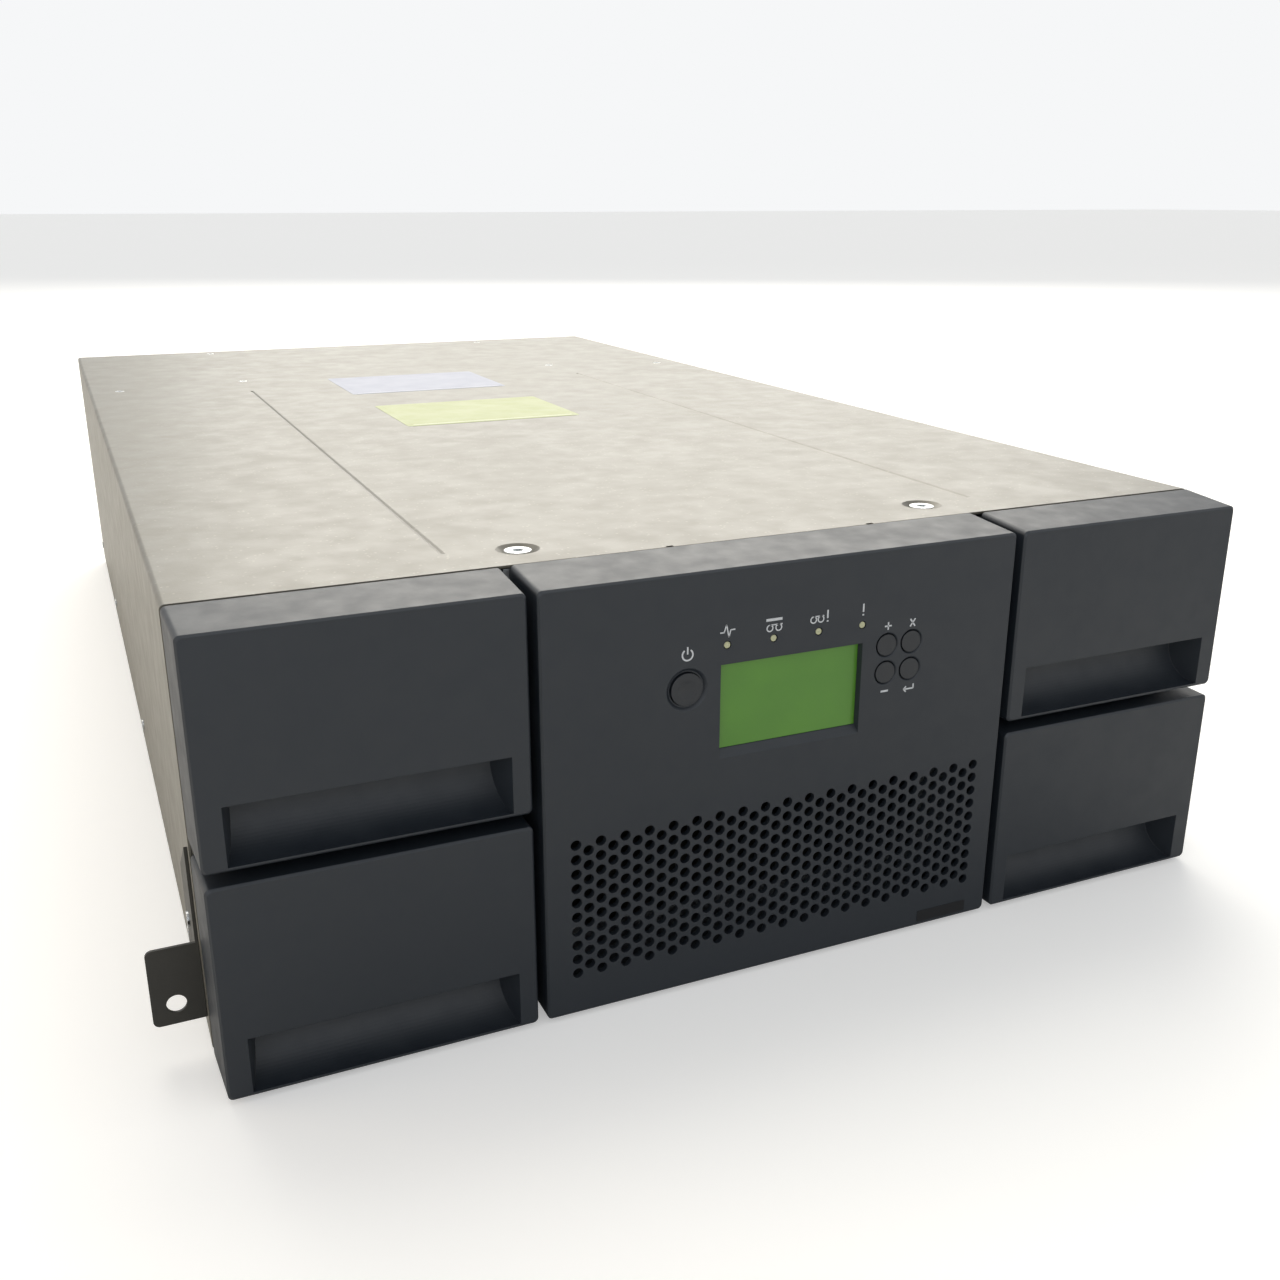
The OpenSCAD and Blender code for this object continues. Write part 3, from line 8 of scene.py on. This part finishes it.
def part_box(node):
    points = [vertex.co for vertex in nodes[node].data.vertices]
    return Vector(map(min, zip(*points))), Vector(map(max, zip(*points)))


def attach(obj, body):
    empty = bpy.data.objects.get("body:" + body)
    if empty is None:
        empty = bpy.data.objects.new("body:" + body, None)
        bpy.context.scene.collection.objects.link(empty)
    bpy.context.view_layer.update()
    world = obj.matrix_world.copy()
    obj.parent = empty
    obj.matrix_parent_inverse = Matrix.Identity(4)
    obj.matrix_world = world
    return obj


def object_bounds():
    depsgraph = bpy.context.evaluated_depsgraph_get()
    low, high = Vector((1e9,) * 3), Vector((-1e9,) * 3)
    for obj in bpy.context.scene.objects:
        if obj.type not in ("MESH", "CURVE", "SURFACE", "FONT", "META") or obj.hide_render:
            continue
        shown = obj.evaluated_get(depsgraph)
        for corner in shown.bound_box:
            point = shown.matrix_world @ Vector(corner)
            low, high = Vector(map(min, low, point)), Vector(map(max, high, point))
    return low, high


# Dressing of a rack-mount tape library. Metres, +Z up, front towards -Y.
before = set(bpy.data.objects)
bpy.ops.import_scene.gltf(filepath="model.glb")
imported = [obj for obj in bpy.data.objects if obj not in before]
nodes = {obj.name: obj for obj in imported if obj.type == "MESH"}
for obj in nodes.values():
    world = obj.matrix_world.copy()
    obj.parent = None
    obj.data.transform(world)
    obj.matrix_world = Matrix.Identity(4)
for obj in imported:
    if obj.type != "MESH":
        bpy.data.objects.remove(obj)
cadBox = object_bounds()
mm = 0.001


cameraPlace = {
    "position": (-0.2444, -0.8043, 0.3003),
    "yaw": 0.4195,     # radians, from +Y towards +X
    "pitch": 0.3264,   # radians below the horizon
    "lens": 36.67,
}


def makeCamera(place):
    camera = bpy.data.cameras.new("mainCamera")
    camera.lens = place["lens"]
    camera.sensor_width = 36
    camera.clip_start = 0.05
    camera.clip_end = 40
    holder = bpy.data.objects.new("mainCamera", camera)
    bpy.context.scene.collection.objects.link(holder)
    yaw, pitch = place["yaw"], place["pitch"]
    ahead = Vector((math.sin(yaw) * math.cos(pitch), math.cos(yaw) * math.cos(pitch), -math.sin(pitch)))
    holder.location = place["position"]
    holder.rotation_euler = ahead.to_track_quat("-Z", "Y").to_euler()
    bpy.context.scene.camera = holder


makeCamera(cameraPlace)
print("camera set")


def hexColor(code):
    channels = [int(code[i:i + 2], 16) / 255 for i in (1, 3, 5)]
    linear = [c / 12.92 if c <= 0.04045 else ((c + 0.055) / 1.055) ** 2.4 for c in channels]
    return (*linear, 1)


def addNode(tree, kind, settings=None, inputs=None):
    node = tree.nodes.new("ShaderNode" + kind)
    for name, value in (settings or {}).items():
        setattr(node, name, value)
    for name, value in (inputs or {}).items():
        socket = node.inputs[name]
        if isinstance(value, bpy.types.NodeSocket):
            tree.links.new(value, socket)
        else:
            socket.default_value = value
    return node


def perMillimetre(size):
    return 1000 / size   # texture scale that gives features of this size in mm


def makeFinish(name, look):
    material = bpy.data.materials.new(name)
    material.use_nodes = True
    tree = material.node_tree
    shader = tree.nodes["Principled BSDF"]
    for socket, value in look.get("shader", {}).items():
        shader.inputs[socket].default_value = value
    place = addNode(tree, "TexCoord").outputs["Object"]
    stretched = place
    if "stretch" in look:   # drawn or brushed along one axis
        mapping = addNode(tree, "Mapping", None, {"Vector": place, "Scale": look["stretch"]})
        stretched = mapping.outputs["Vector"]

    toneNoise = addNode(tree, "TexNoise", None, {
        "Vector": stretched, "Scale": perMillimetre(look["toneSize"]), "Detail": 4.0, "Roughness": 0.6})
    toneMix = addNode(tree, "Mix", {"data_type": "RGBA"}, {"Factor": toneNoise.outputs["Fac"]})
    toneMix.inputs[6].default_value = hexColor(look["tones"][0])
    toneMix.inputs[7].default_value = hexColor(look["tones"][1])
    color = toneMix.outputs[2]

    if "speck" in look:   # fine flakes or dust of another colour
        speck = look["speck"]
        cells = addNode(tree, "TexVoronoi", None, {
            "Vector": place, "Scale": perMillimetre(speck["size"])})
        mask = addNode(tree, "MapRange", None, {
            "Value": cells.outputs["Distance"], "From Min": speck["cover"], "From Max": speck["cover"] * 0.6})
        rarity = 1 - speck["share"]
        rare = addNode(tree, "MapRange", None, {
            "Value": cells.outputs["Color"], "From Min": rarity, "From Max": rarity + 0.02})
        both = addNode(tree, "Math", {"operation": "MULTIPLY"}, {0: mask.outputs[0], 1: rare.outputs[0]})
        part = addNode(tree, "Math", {"operation": "MULTIPLY"}, {0: both.outputs[0], 1: speck["strength"]})
        speckMix = addNode(tree, "Mix", {"data_type": "RGBA"}, {"Factor": part.outputs[0]})
        tree.links.new(color, speckMix.inputs[6])
        speckMix.inputs[7].default_value = hexColor(speck["color"])
        color = speckMix.outputs[2]
    tree.links.new(color, shader.inputs["Base Color"])

    roughNoise = addNode(tree, "TexNoise", None, {
        "Vector": stretched, "Scale": perMillimetre(look["roughSize"]), "Detail": 3.0})
    rough = addNode(tree, "MapRange", None, {
        "Value": roughNoise.outputs["Fac"], "From Min": 0.3, "From Max": 0.7,
        "To Min": look["rough"][0], "To Max": look["rough"][1]})
    tree.links.new(rough.outputs[0], shader.inputs["Roughness"])

    normal = None
    if "edge" in look:   # softened edges of the moulding or bend
        normal = addNode(tree, "Bevel", {"samples": 4}, {"Radius": look["edge"] * mm}).outputs["Normal"]
    for size, height in look["grain"]:
        grain = addNode(tree, "TexNoise", None, {
            "Vector": stretched, "Scale": perMillimetre(size), "Detail": 2.0})
        bump = addNode(tree, "Bump", None, {
            "Height": grain.outputs["Fac"], "Distance": height * mm, "Strength": 1.0})
        if normal:
            tree.links.new(normal, bump.inputs["Normal"])
        normal = bump.outputs["Normal"]
    if normal:
        tree.links.new(normal, shader.inputs["Normal"])
    return material


# ABS with a spark-eroded mould texture: matt charcoal with a slightly blue cast
mouldedAbs = makeFinish("abs_spark_textured_charcoal", {
    "tones": ("#1e242b", "#22282f"), "toneSize": 60,
    "rough": (0.44, 0.54), "roughSize": 9,
    "grain": ((0.9, 0.012), (3.2, 0.008)), "edge": 0.35,
    "shader": {"IOR": 1.53},
})
# the same ABS on keys, polished a little by fingers
polishedAbs = makeFinish("abs_polished_keys", {
    "tones": ("#1c2026", "#20252b"), "toneSize": 6,
    "rough": (0.3, 0.4), "roughSize": 3,
    "grain": ((0.9, 0.012),), "edge": 0.5,
    "shader": {"IOR": 1.53},
})
# powder coat with a fine orange peel and metal flake: brown-grey with a soft sheen
flakePowderCoat = makeFinish("steel_powder_coated_flake", {
    "tones": ("#6b685e", "#706d63"), "toneSize": 240,
    "rough": (0.36, 0.46), "roughSize": 14,
    "grain": ((1.1, 0.03), (4.0, 0.03)), "edge": 0.4,
    "speck": {"size": 1.6, "cover": 0.4, "share": 0.22, "strength": 0.3, "color": "#a8a596"},
    "shader": {"IOR": 1.6, "Metallic": 0.25},
})
# satin black powder coat of the ears
blackPowderCoat = makeFinish("steel_powder_coated_black", {
    "tones": ("#2c2b27", "#33322d"), "toneSize": 20,
    "rough": (0.4, 0.5), "roughSize": 6,
    "grain": ((0.9, 0.03),), "edge": 0.3,
    "shader": {"IOR": 1.5},
})
# electro-galvanised sheet, cold rolled: grey with faint rolling lines
zincSheet = makeFinish("steel_sheet_galvanised", {
    "tones": ("#a9adb1", "#bcc0c3"), "toneSize": 26, "stretch": (1, 0.12, 1),
    "rough": (0.3, 0.44), "roughSize": 9,
    "grain": ((2.2, 0.006),), "edge": 0.2,
    "shader": {"Metallic": 1.0},
})
# bright zinc plate on turned screws
brightZinc = makeFinish("steel_zinc_plated_bright", {
    "tones": ("#c3c7ca", "#d2d5d6"), "toneSize": 5,
    "rough": (0.18, 0.3), "roughSize": 2,
    "grain": ((0.8, 0.006),), "edge": 0.25,
    "shader": {"Metallic": 1.0},
})
# ground and turned steel
machinedSteel = makeFinish("steel_ground", {
    "tones": ("#9a9c9e", "#acaeb0"), "toneSize": 8, "stretch": (1, 1, 0.2),
    "rough": (0.22, 0.34), "roughSize": 3,
    "grain": ((1.2, 0.004),), "edge": 0.2,
    "shader": {"Metallic": 1.0},
})
# hobbed brass gears
hobbedBrass = makeFinish("brass_hobbed", {
    "tones": ("#b8974f", "#c8a95f"), "toneSize": 5,
    "rough": (0.22, 0.36), "roughSize": 2,
    "grain": ((0.8, 0.005),), "edge": 0.15,
    "shader": {"Metallic": 1.0},
})
# deep-drawn motor cans under black electrophoretic paint
blackMotorCan = makeFinish("steel_drawn_black_painted", {
    "tones": ("#25262a", "#2d2e32"), "toneSize": 10, "stretch": (1, 1, 0.3),
    "rough": (0.3, 0.42), "roughSize": 4,
    "grain": ((1.0, 0.01),), "edge": 0.3,
    "shader": {"Metallic": 0.3},
})
# glass-filled nylon, moulded: mid grey, slightly mottled
nylonGrey = makeFinish("nylon_glass_filled_grey", {
    "tones": ("#5c6065", "#676b70"), "toneSize": 12,
    "rough": (0.42, 0.55), "roughSize": 4,
    "grain": ((0.9, 0.03),), "edge": 0.3,
    "shader": {"IOR": 1.53},
})
# black acetal on the picker, close to satin
acetalBlack = makeFinish("acetal_milled_black", {
    "tones": ("#1b1c1f", "#222327"), "toneSize": 8,
    "rough": (0.3, 0.42), "roughSize": 3,
    "grain": ((1.0, 0.012),), "edge": 0.25,
    "shader": {"IOR": 1.48},
})
# polycarbonate cartridge shells with a leather-fine grain
cartridgeShell = makeFinish("polycarbonate_fine_grained_shell", {
    "tones": ("#17191d", "#1d2024"), "toneSize": 30,
    "rough": (0.36, 0.48), "roughSize": 5,
    "grain": ((0.9, 0.03),), "edge": 0.35,
    "shader": {"IOR": 1.58},
})
# bare drive casings, brushed sheet
brushedCasing = makeFinish("steel_sheet_brushed", {
    "tones": ("#8d8f92", "#9da0a2"), "toneSize": 14, "stretch": (0.1, 1, 1),
    "rough": (0.28, 0.42), "roughSize": 5,
    "grain": ((1.0, 0.006),), "edge": 0.2,
    "shader": {"Metallic": 1.0},
})
# PBT fan blades and frames
fanPbt = makeFinish("pbt_moulded_black", {
    "tones": ("#141517", "#1a1b1d"), "toneSize": 12,
    "rough": (0.34, 0.46), "roughSize": 4,
    "grain": ((0.9, 0.015),), "edge": 0.25,
    "shader": {"IOR": 1.55},
})
# glass-epoxy board under green solder mask
solderMask = makeFinish("glass_epoxy_green_solder_mask", {
    "tones": ("#1d5a30", "#256a3a"), "toneSize": 4,
    "rough": (0.25, 0.36), "roughSize": 2,
    "grain": ((1.2, 0.01),),
    "shader": {"IOR": 1.55},
})
# clear light guides over unlit lamps: milky yellow-green
lampGuide = makeFinish("acrylic_moulded_light_guide", {
    "tones": ("#b4b68e", "#c9c9a4"), "toneSize": 1.2,
    "rough": (0.12, 0.2), "roughSize": 1,
    "grain": ((1.0, 0.01),), "edge": 0.4,
    "shader": {"IOR": 1.49, "Coat Weight": 0.6, "Coat Roughness": 0.08},
})


def makeDisplayGlass(look):
    material = bpy.data.materials.new("glass_over_backlit_green_film")
    material.use_nodes = True
    tree = material.node_tree
    shader = tree.nodes["Principled BSDF"]
    place = addNode(tree, "TexCoord").outputs["Object"]
    cloud = addNode(tree, "TexNoise", None, {
        "Vector": place, "Scale": perMillimetre(look["cloudSize"]), "Detail": 3.0})
    tone = addNode(tree, "Mix", {"data_type": "RGBA"}, {"Factor": cloud.outputs["Fac"]})
    tone.inputs[6].default_value = hexColor(look["tones"][0])
    tone.inputs[7].default_value = hexColor(look["tones"][1])
    # dot matrix of the unlit display, drawn at its real pitch
    turnsPerMetre = 2 * math.pi * perMillimetre(look["dotPitch"])
    split = addNode(tree, "SeparateXYZ", None, {"Vector": place})
    lines = []
    for axis in ("X", "Z"):
        turns = addNode(tree, "Math", {"operation": "MULTIPLY"}, {0: split.outputs[axis], 1: turnsPerMetre})
        wave = addNode(tree, "Math", {"operation": "SINE"}, {0: turns.outputs[0]})
        gap = addNode(tree, "MapRange", None, {
            "Value": wave.outputs[0], "From Min": look["gapStart"], "From Max": 1.0})
        lines.append(gap.outputs[0])
    grid = addNode(tree, "Math", {"operation": "MAXIMUM"}, {0: lines[0], 1: lines[1]})
    faint = addNode(tree, "Math", {"operation": "MULTIPLY"}, {0: grid.outputs[0], 1: look["gapStrength"]})
    dots = addNode(tree, "Mix", {"data_type": "RGBA"}, {"Factor": faint.outputs[0]})
    tree.links.new(tone.outputs[2], dots.inputs[6])
    dots.inputs[7].default_value = hexColor(look["gapTone"])
    tree.links.new(dots.outputs[2], shader.inputs["Base Color"])
    for socket, value in look["shader"].items():
        shader.inputs[socket].default_value = value
    return material


# float glass over the display's green film: an even green, softly mirrored by the glass
displayGlass = makeDisplayGlass({
    "tones": ("#48801c", "#57921f"), "gapTone": "#3d6f1c", "cloudSize": 22,
    "dotPitch": 0.48, "gapStart": 0.72, "gapStrength": 0.35,
    "shader": {"Roughness": 0.5, "Coat Weight": 0.5, "Coat Roughness": 0.12},
})
print("materials made:", len(bpy.data.materials))


finishOf = {
    mouldedAbs: ["front_bezel"] + [n for n in nodes if n.startswith("magazine_bezel")],
    polishedAbs: ["power_button", "key_plus", "key_cancel", "key_minus", "key_enter"],
    flakePowderCoat: ["chassis_tray", "top_cover", "rear_panel"],
    blackPowderCoat: ["rack_ear_left", "rack_ear_right"],
    zincSheet: ["front_frame", "mid_frame", "drive_cage", "magazine_bay_left", "magazine_bay_right",
                "carriage", "picker_stage", "drive_sled_lower", "drive_sled_upper", "power_supply",
                "controller_tray"],
    brightZinc: ["housing_screws"],
    machinedSteel: ["robot_track", "lead_screw", "lift_mast"],
    hobbedBrass: ["carriage_pinion", "turntable_pinion", "lift_pinion"],
    blackMotorCan: ["carriage_motors", "lift_motor"],
    nylonGrey: ["turntable", "lift_platform"] + [n for n in nodes if n.startswith("magazine_tray")],
    acetalBlack: ["picker", "barcode_reader", "drive_door_lower", "drive_door_upper"],
    cartridgeShell: [n for n in nodes if n.startswith("cartridges")],
    brushedCasing: ["tape_drive_lower", "tape_drive_upper", "controller_ports", "lcd_module"],
    fanPbt: ["drive_fan_lower", "drive_fan_upper", "power_supply_fan", "power_inlet"],
    solderMask: ["panel_board"],
    lampGuide: ["status_leds"],
    displayGlass: ["lcd_window"],
}
for material, names in finishOf.items():
    for name in names:
        for place in nodes[name].material_slots:
            place.material = material
undressed = sorted(set(nodes) - {n for names in finishOf.values() for n in names})
print("nodes dressed, left over:", undressed)


def finishPiece(shape, name, body, materials):
    mesh = bpy.data.meshes.new(name)
    shape.to_mesh(mesh)
    shape.free()
    piece = bpy.data.objects.new(name, mesh)
    bpy.context.scene.collection.objects.link(piece)
    for material in materials:
        mesh.materials.append(material)
    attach(piece, body)
    return piece


def addBlock(shape, low, high):
    centre = [(a + b) / 2 for a, b in zip(low, high)]
    size = [b - a for a, b in zip(low, high)]
    fit = Matrix.Translation(centre) @ Matrix.Diagonal((*size, 1))
    made = bmesh.ops.create_cube(shape, size=1, matrix=fit)
    return made["verts"]


def addStroke(shape, start, end, width, face, depth):
    # a printed bar from start to end in x and z, on the panel's face
    start, end = Vector(start), Vector(end)
    along = end - start
    turn = Matrix.Rotation(-math.atan2(along.y, along.x), 4, "Y")
    centre = (start + end) / 2
    fit = Matrix.Diagonal((along.length + width * 0.3, depth, width, 1))   # a little overlap at the corners
    place = Matrix.Translation((centre.x, face - depth / 2, centre.y)) @ turn
    bmesh.ops.create_cube(shape, size=1, matrix=place @ fit)


def addRing(shape, centre, radius, width, face, depth, start=0, sweep=360):
    # a printed ring or arc, spun from a small rectangle round an axis along y
    middle = Vector((centre[0], face - depth / 2, centre[1]))
    made = bmesh.ops.create_grid(shape, x_segments=1, y_segments=1, size=0.5, matrix=(
        Matrix.Translation(middle) @ Matrix.Rotation(math.radians(-start), 4, "Y")
        @ Matrix.Translation((radius, 0, 0)) @ Matrix.Diagonal((width, depth, 1, 1))))
    full = sweep >= 360
    bmesh.ops.spin(shape, geom=made["verts"] + list({e for v in made["verts"] for e in v.link_edges})
                   + list({f for v in made["verts"] for f in v.link_faces}),
                   cent=middle, axis=(0, -1, 0), angle=math.radians(sweep), steps=24 if full else 20,
                   use_merge=full, use_normal_flip=False)


# white pad-printed signs beside the button, lamps and keys
printInk = makeFinish("ink_pad_printed_white", {
    "tones": ("#c4c8cc", "#d6d9dc"), "toneSize": 2,
    "rough": (0.5, 0.6), "roughSize": 2, "grain": ((1.0, 0.004),),
})
signs = {
    "ink": 0.06, "line": 0.62, "ringRadius": 2.15, "ringGap": 70, "rise": 3.7,
    "lampRise": 4.1, "reelRadius": 1.25,
}


def makePanelSigns(look):
    shape = bmesh.new()
    low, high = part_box("front_bezel")
    face, depth, line = low.y + 0.01 * mm, (look["ink"] + 0.01) * mm, look["line"] * mm

    def bars(centre, strokes, width=line):
        for x0, z0, x1, z1 in strokes:
            start = (centre[0] + x0 * mm, centre[1] + z0 * mm)
            end = (centre[0] + x1 * mm, centre[1] + z1 * mm)
            addStroke(shape, start, end, width, face, depth)

    def above(node, rise):
        a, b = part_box(node)
        return ((a.x + b.x) / 2, b.z + rise * mm)

    # power sign: an open ring with a bar
    buttonLow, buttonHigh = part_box("power_button")
    centre = ((buttonLow.x + buttonHigh.x) / 2, buttonHigh.z + (look["rise"] + 2.6) * mm)
    addRing(shape, centre, look["ringRadius"] * mm, line, face, depth,
            90 + look["ringGap"] / 2, 360 - look["ringGap"])
    bars(centre, [(0, 0.3, 0, 3.0)])

    # lamp signs: activity, cleaning cartridge, cartridge fault, fault
    lampLow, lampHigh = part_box("status_leds")
    lampRadius = (lampHigh.z - lampLow.z) / 2
    lampX = [lampLow.x + lampRadius + i * (lampHigh.x - lampLow.x - 2 * lampRadius) / 3 for i in range(4)]
    level = lampHigh.z + look["lampRise"] * mm
    bars((lampX[0], level), [(-3.1, -0.3, -1.5, -0.3), (-1.5, -0.3, -0.6, 2.7), (-0.6, 2.7, 0.5, -2.3),
                             (0.5, -2.3, 1.2, 0.5), (1.2, 0.5, 3.0, 0.5)], line * 0.8)
    for x in (-1.9, 1.9):
        reels = ((lampX[1] + x * mm, level - 1.2 * mm), (lampX[2] + (x * 0.85 - 1) * mm, level - 0.4 * mm))
        for reel in reels:
            addRing(shape, reel, look["reelRadius"] * mm, line * 0.8, face, depth)
    bars((lampX[1], level), [(-1.9, 0.05, 3.4, 0.05)], line * 0.8)
    bars((lampX[1], level), [(-3.4, 2.1, 3.2, 2.1)], line * 1.7)
    bars((lampX[2], level), [(-2.6, 0.85, 1.9, 0.85)], line * 0.8)
    for x, z in ((lampX[2] + 3.6 * mm, level), (lampX[3], level + 0.4 * mm)):
        bars((x, z), [(0, -0.3, 0, 2.8)], line * 1.1)
        bars((x, z), [(0, -1.75, 0, -1.35)], line * 1.2)

    # key signs: plus, cross, minus and the enter arrow
    bars(above("key_plus", 2.6), [(-1.5, 0, 1.5, 0), (0, -1.5, 0, 1.5)])
    bars(above("key_cancel", 2.6), [(-1.1, -1.5, 1.1, 1.5), (-1.1, 1.5, 1.1, -1.5)])
    a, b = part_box("key_minus")
    bars(((a.x + b.x) / 2, a.z - 2.4 * mm), [(-1.6, 0, 1.6, 0)], line * 1.3)
    a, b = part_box("key_enter")
    arrow = ((a.x + b.x) / 2, a.z - 2.6 * mm)
    bars(arrow, [(-2.0, -0.5, 2.3, -0.5), (2.3, -0.5, 2.3, 1.3)])
    bars(arrow, [(-2.3, -0.5, -1.2, 0.6), (-2.3, -0.5, -1.2, -1.6)], line * 0.9)
    bmesh.ops.recalc_face_normals(shape, faces=shape.faces)
    return finishPiece(shape, "panelSigns", "chassis", [printInk])


makePanelSigns(signs)


# blank vinyl labels on the cover and the panel
def makeLabelVinyl(name, tone, border, rough):
    return makeFinish(name, {
        "tones": (tone, border), "toneSize": 40, "rough": rough, "roughSize": 12,
        "grain": ((2.5, 0.01),), "shader": {"IOR": 1.46},
    })


lavenderVinyl = makeLabelVinyl("vinyl_printed_pale_lavender", "#dedced", "#e6e4f2", (0.3, 0.42))
yellowVinyl = makeLabelVinyl("vinyl_printed_pale_yellow", "#dfe3c8", "#e8ebd6", (0.3, 0.42))
blackVinyl = makeLabelVinyl("vinyl_printed_black", "#121316", "#17181b", (0.28, 0.4))
greyInk = makeLabelVinyl("ink_printed_grey", "#8f94a6", "#9a9fb0", (0.4, 0.5))
oliveInk = makeLabelVinyl("ink_printed_olive", "#9aa36a", "#a5ad76", (0.4, 0.5))


def addLabel(shape, low, high, thin, corner, up):
    # a sheet with round corners; up is the axis that it is thin along
    verts = addBlock(shape, low, high)
    axis = {"y": 1, "z": 2}[up]
    edges = [e for e in {e for v in verts for e in v.link_edges}
             if abs((e.verts[0].co - e.verts[1].co)[axis]) > thin * 0.5]
    bmesh.ops.bevel(shape, geom=edges, offset=corner, affect="EDGES", segments=5, profile=0.5, material=-1)


def makeCoverLabel(name, look, vinyl, ink):
    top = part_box("top_cover")[1].z
    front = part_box("front_bezel")[0].y
    shape = bmesh.new()
    x, y = [v * mm for v in look["x"]], [front + v * mm for v in look["y"]]
    addLabel(shape, (x[0], y[0], top - 0.01 * mm), (x[1], y[1], top + 0.12 * mm), 0.13 * mm, 2.5 * mm, "z")
    plain = len(shape.faces)
    # border line, four thin bars of ink
    inset, line = look["inset"] * mm, look["line"] * mm
    a, b = (x[0] + inset, y[0] + inset), (x[1] - inset, y[1] - inset)
    z = (top + 0.11 * mm, top + 0.14 * mm)
    addBlock(shape, (a[0], a[1], z[0]), (b[0], a[1] + line, z[1]))
    addBlock(shape, (a[0], b[1] - line, z[0]), (b[0], b[1], z[1]))
    addBlock(shape, (a[0], a[1] + line, z[0]), (a[0] + line, b[1] - line, z[1]))
    addBlock(shape, (b[0] - line, a[1] + line, z[0]), (b[0], b[1] - line, z[1]))
    shape.faces.ensure_lookup_table()
    for face in shape.faces[plain:]:
        face.material_index = 1
    return finishPiece(shape, name, "chassis", [vinyl, ink])


rearLabel = {"x": (-60, 48), "y": (484, 573), "inset": 4, "line": 0.6}    # y from the bezels' faces
frontLabel = {"x": (-59, 48), "y": (341, 427), "inset": 4, "line": 0.8}
makeCoverLabel("coverLabelRear", rearLabel, lavenderVinyl, greyInk)
makeCoverLabel("coverLabelFront", frontLabel, yellowVinyl, oliveInk)

serialPlate = {"x": (67, 92), "z": (3.4, 8.6), "thin": 0.12}


def makePanelLabel(look):
    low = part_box("front_bezel")[0]
    shape = bmesh.new()
    addLabel(shape, (look["x"][0] * mm, low.y - look["thin"] * mm, look["z"][0] * mm),
             (look["x"][1] * mm, low.y + 0.01 * mm, look["z"][1] * mm), look["thin"] * mm, 0.6 * mm, "y")
    return finishPiece(shape, "panelLabel", "chassis", [blackVinyl])


makePanelLabel(serialPlate)
print("signs and labels made")


stage = {"size": 30, "floor": "#e9e9e7", "rough": 0.9, "drop": 0.3, "lift": 0.35}


def makeStage(look):
    shape = bmesh.new()
    bmesh.ops.create_grid(shape, x_segments=1, y_segments=1, size=look["size"])
    mesh = bpy.data.meshes.new("studioFloor")
    shape.to_mesh(mesh)
    shape.free()
    floor = bpy.data.objects.new("studioFloor", mesh)
    bpy.context.scene.collection.objects.link(floor)
    floor.location.z = cadBox[0].z - look["drop"] * mm
    material = bpy.data.materials.new("studioFloorPaint")
    material.use_nodes = True
    tree = material.node_tree
    shader = tree.nodes["Principled BSDF"]
    shader.inputs["Base Color"].default_value = hexColor(look["floor"])
    shader.inputs["Roughness"].default_value = look["rough"]
    # lifts the floor towards white for the eye alone, so the shadow stays and no light is added
    shader.inputs["Emission Color"].default_value = hexColor("#ffffff")
    seen = addNode(tree, "LightPath").outputs["Is Camera Ray"]
    lift = addNode(tree, "Math", {"operation": "MULTIPLY"}, {0: seen, 1: look["lift"]})
    tree.links.new(lift.outputs[0], shader.inputs["Emission Strength"])
    mesh.materials.append(material)


def makeLamp(name, look):
    light = bpy.data.lights.new(name, "AREA")
    light.shape = "RECTANGLE"
    light.size, light.size_y = look["size"]
    light.energy = look["power"]
    light.color = hexColor(look["color"])[:3]
    holder = bpy.data.objects.new(name, light)
    bpy.context.scene.collection.objects.link(holder)
    holder.location = look["at"]
    aim = Vector(look["aim"]) - Vector(look["at"])
    holder.rotation_euler = aim.to_track_quat("-Z", "Y").to_euler()


lamps = {
    "overheadSoftbox": {
        "at": (0.3, 1.2, 2.4), "aim": (0, 0, 0.1), "size": (2.6, 2.0), "power": 52, "color": "#fffaf0"},
    # mirrored by the tops of the bezels
    "rearSoftbox": {
        "at": (1.6, 3.2, 1.9), "aim": (0, 0, 0.15), "size": (3.5, 1.8), "power": 60, "color": "#fffaf0"},
    "frontFill": {
        "at": (-1.4, -2.6, 1.3), "aim": (0, -0.3, 0.08), "size": (2.0, 1.6), "power": 9, "color": "#f4f7ff"},
    "leftWarm": {
        "at": (-2.2, 0.4, 0.9), "aim": (0, 0, 0.08), "size": (1.6, 1.2), "power": 12, "color": "#ffe2b8"},
}


worldLook = {"color": "#f6f7f8", "light": 0.55, "seen": 1.0}


def makeWorld(look):
    world = bpy.data.worlds.new("studioWorld")
    bpy.context.scene.world = world
    world.use_nodes = True
    tree = world.node_tree
    back = tree.nodes["Background"]
    back.inputs["Color"].default_value = hexColor(look["color"])
    # white to the camera and in reflections, a plain level for the light it gives
    path = addNode(tree, "LightPath")
    seen = path.outputs["Is Camera Ray"]
    for ray in ("Is Transmission Ray", "Is Glossy Ray"):
        seen = addNode(tree, "Math", {"operation": "MAXIMUM"}, {0: seen, 1: path.outputs[ray]}).outputs[0]
    level = addNode(tree, "MapRange", None, {"Value": seen, "To Min": look["light"], "To Max": look["seen"]})
    tree.links.new(level.outputs[0], back.inputs["Strength"])


makeStage(stage)
for name, look in lamps.items():
    makeLamp(name, look)
makeWorld(worldLook)
bpy.context.scene.view_settings.view_transform = "Standard"
print("stage and light set")
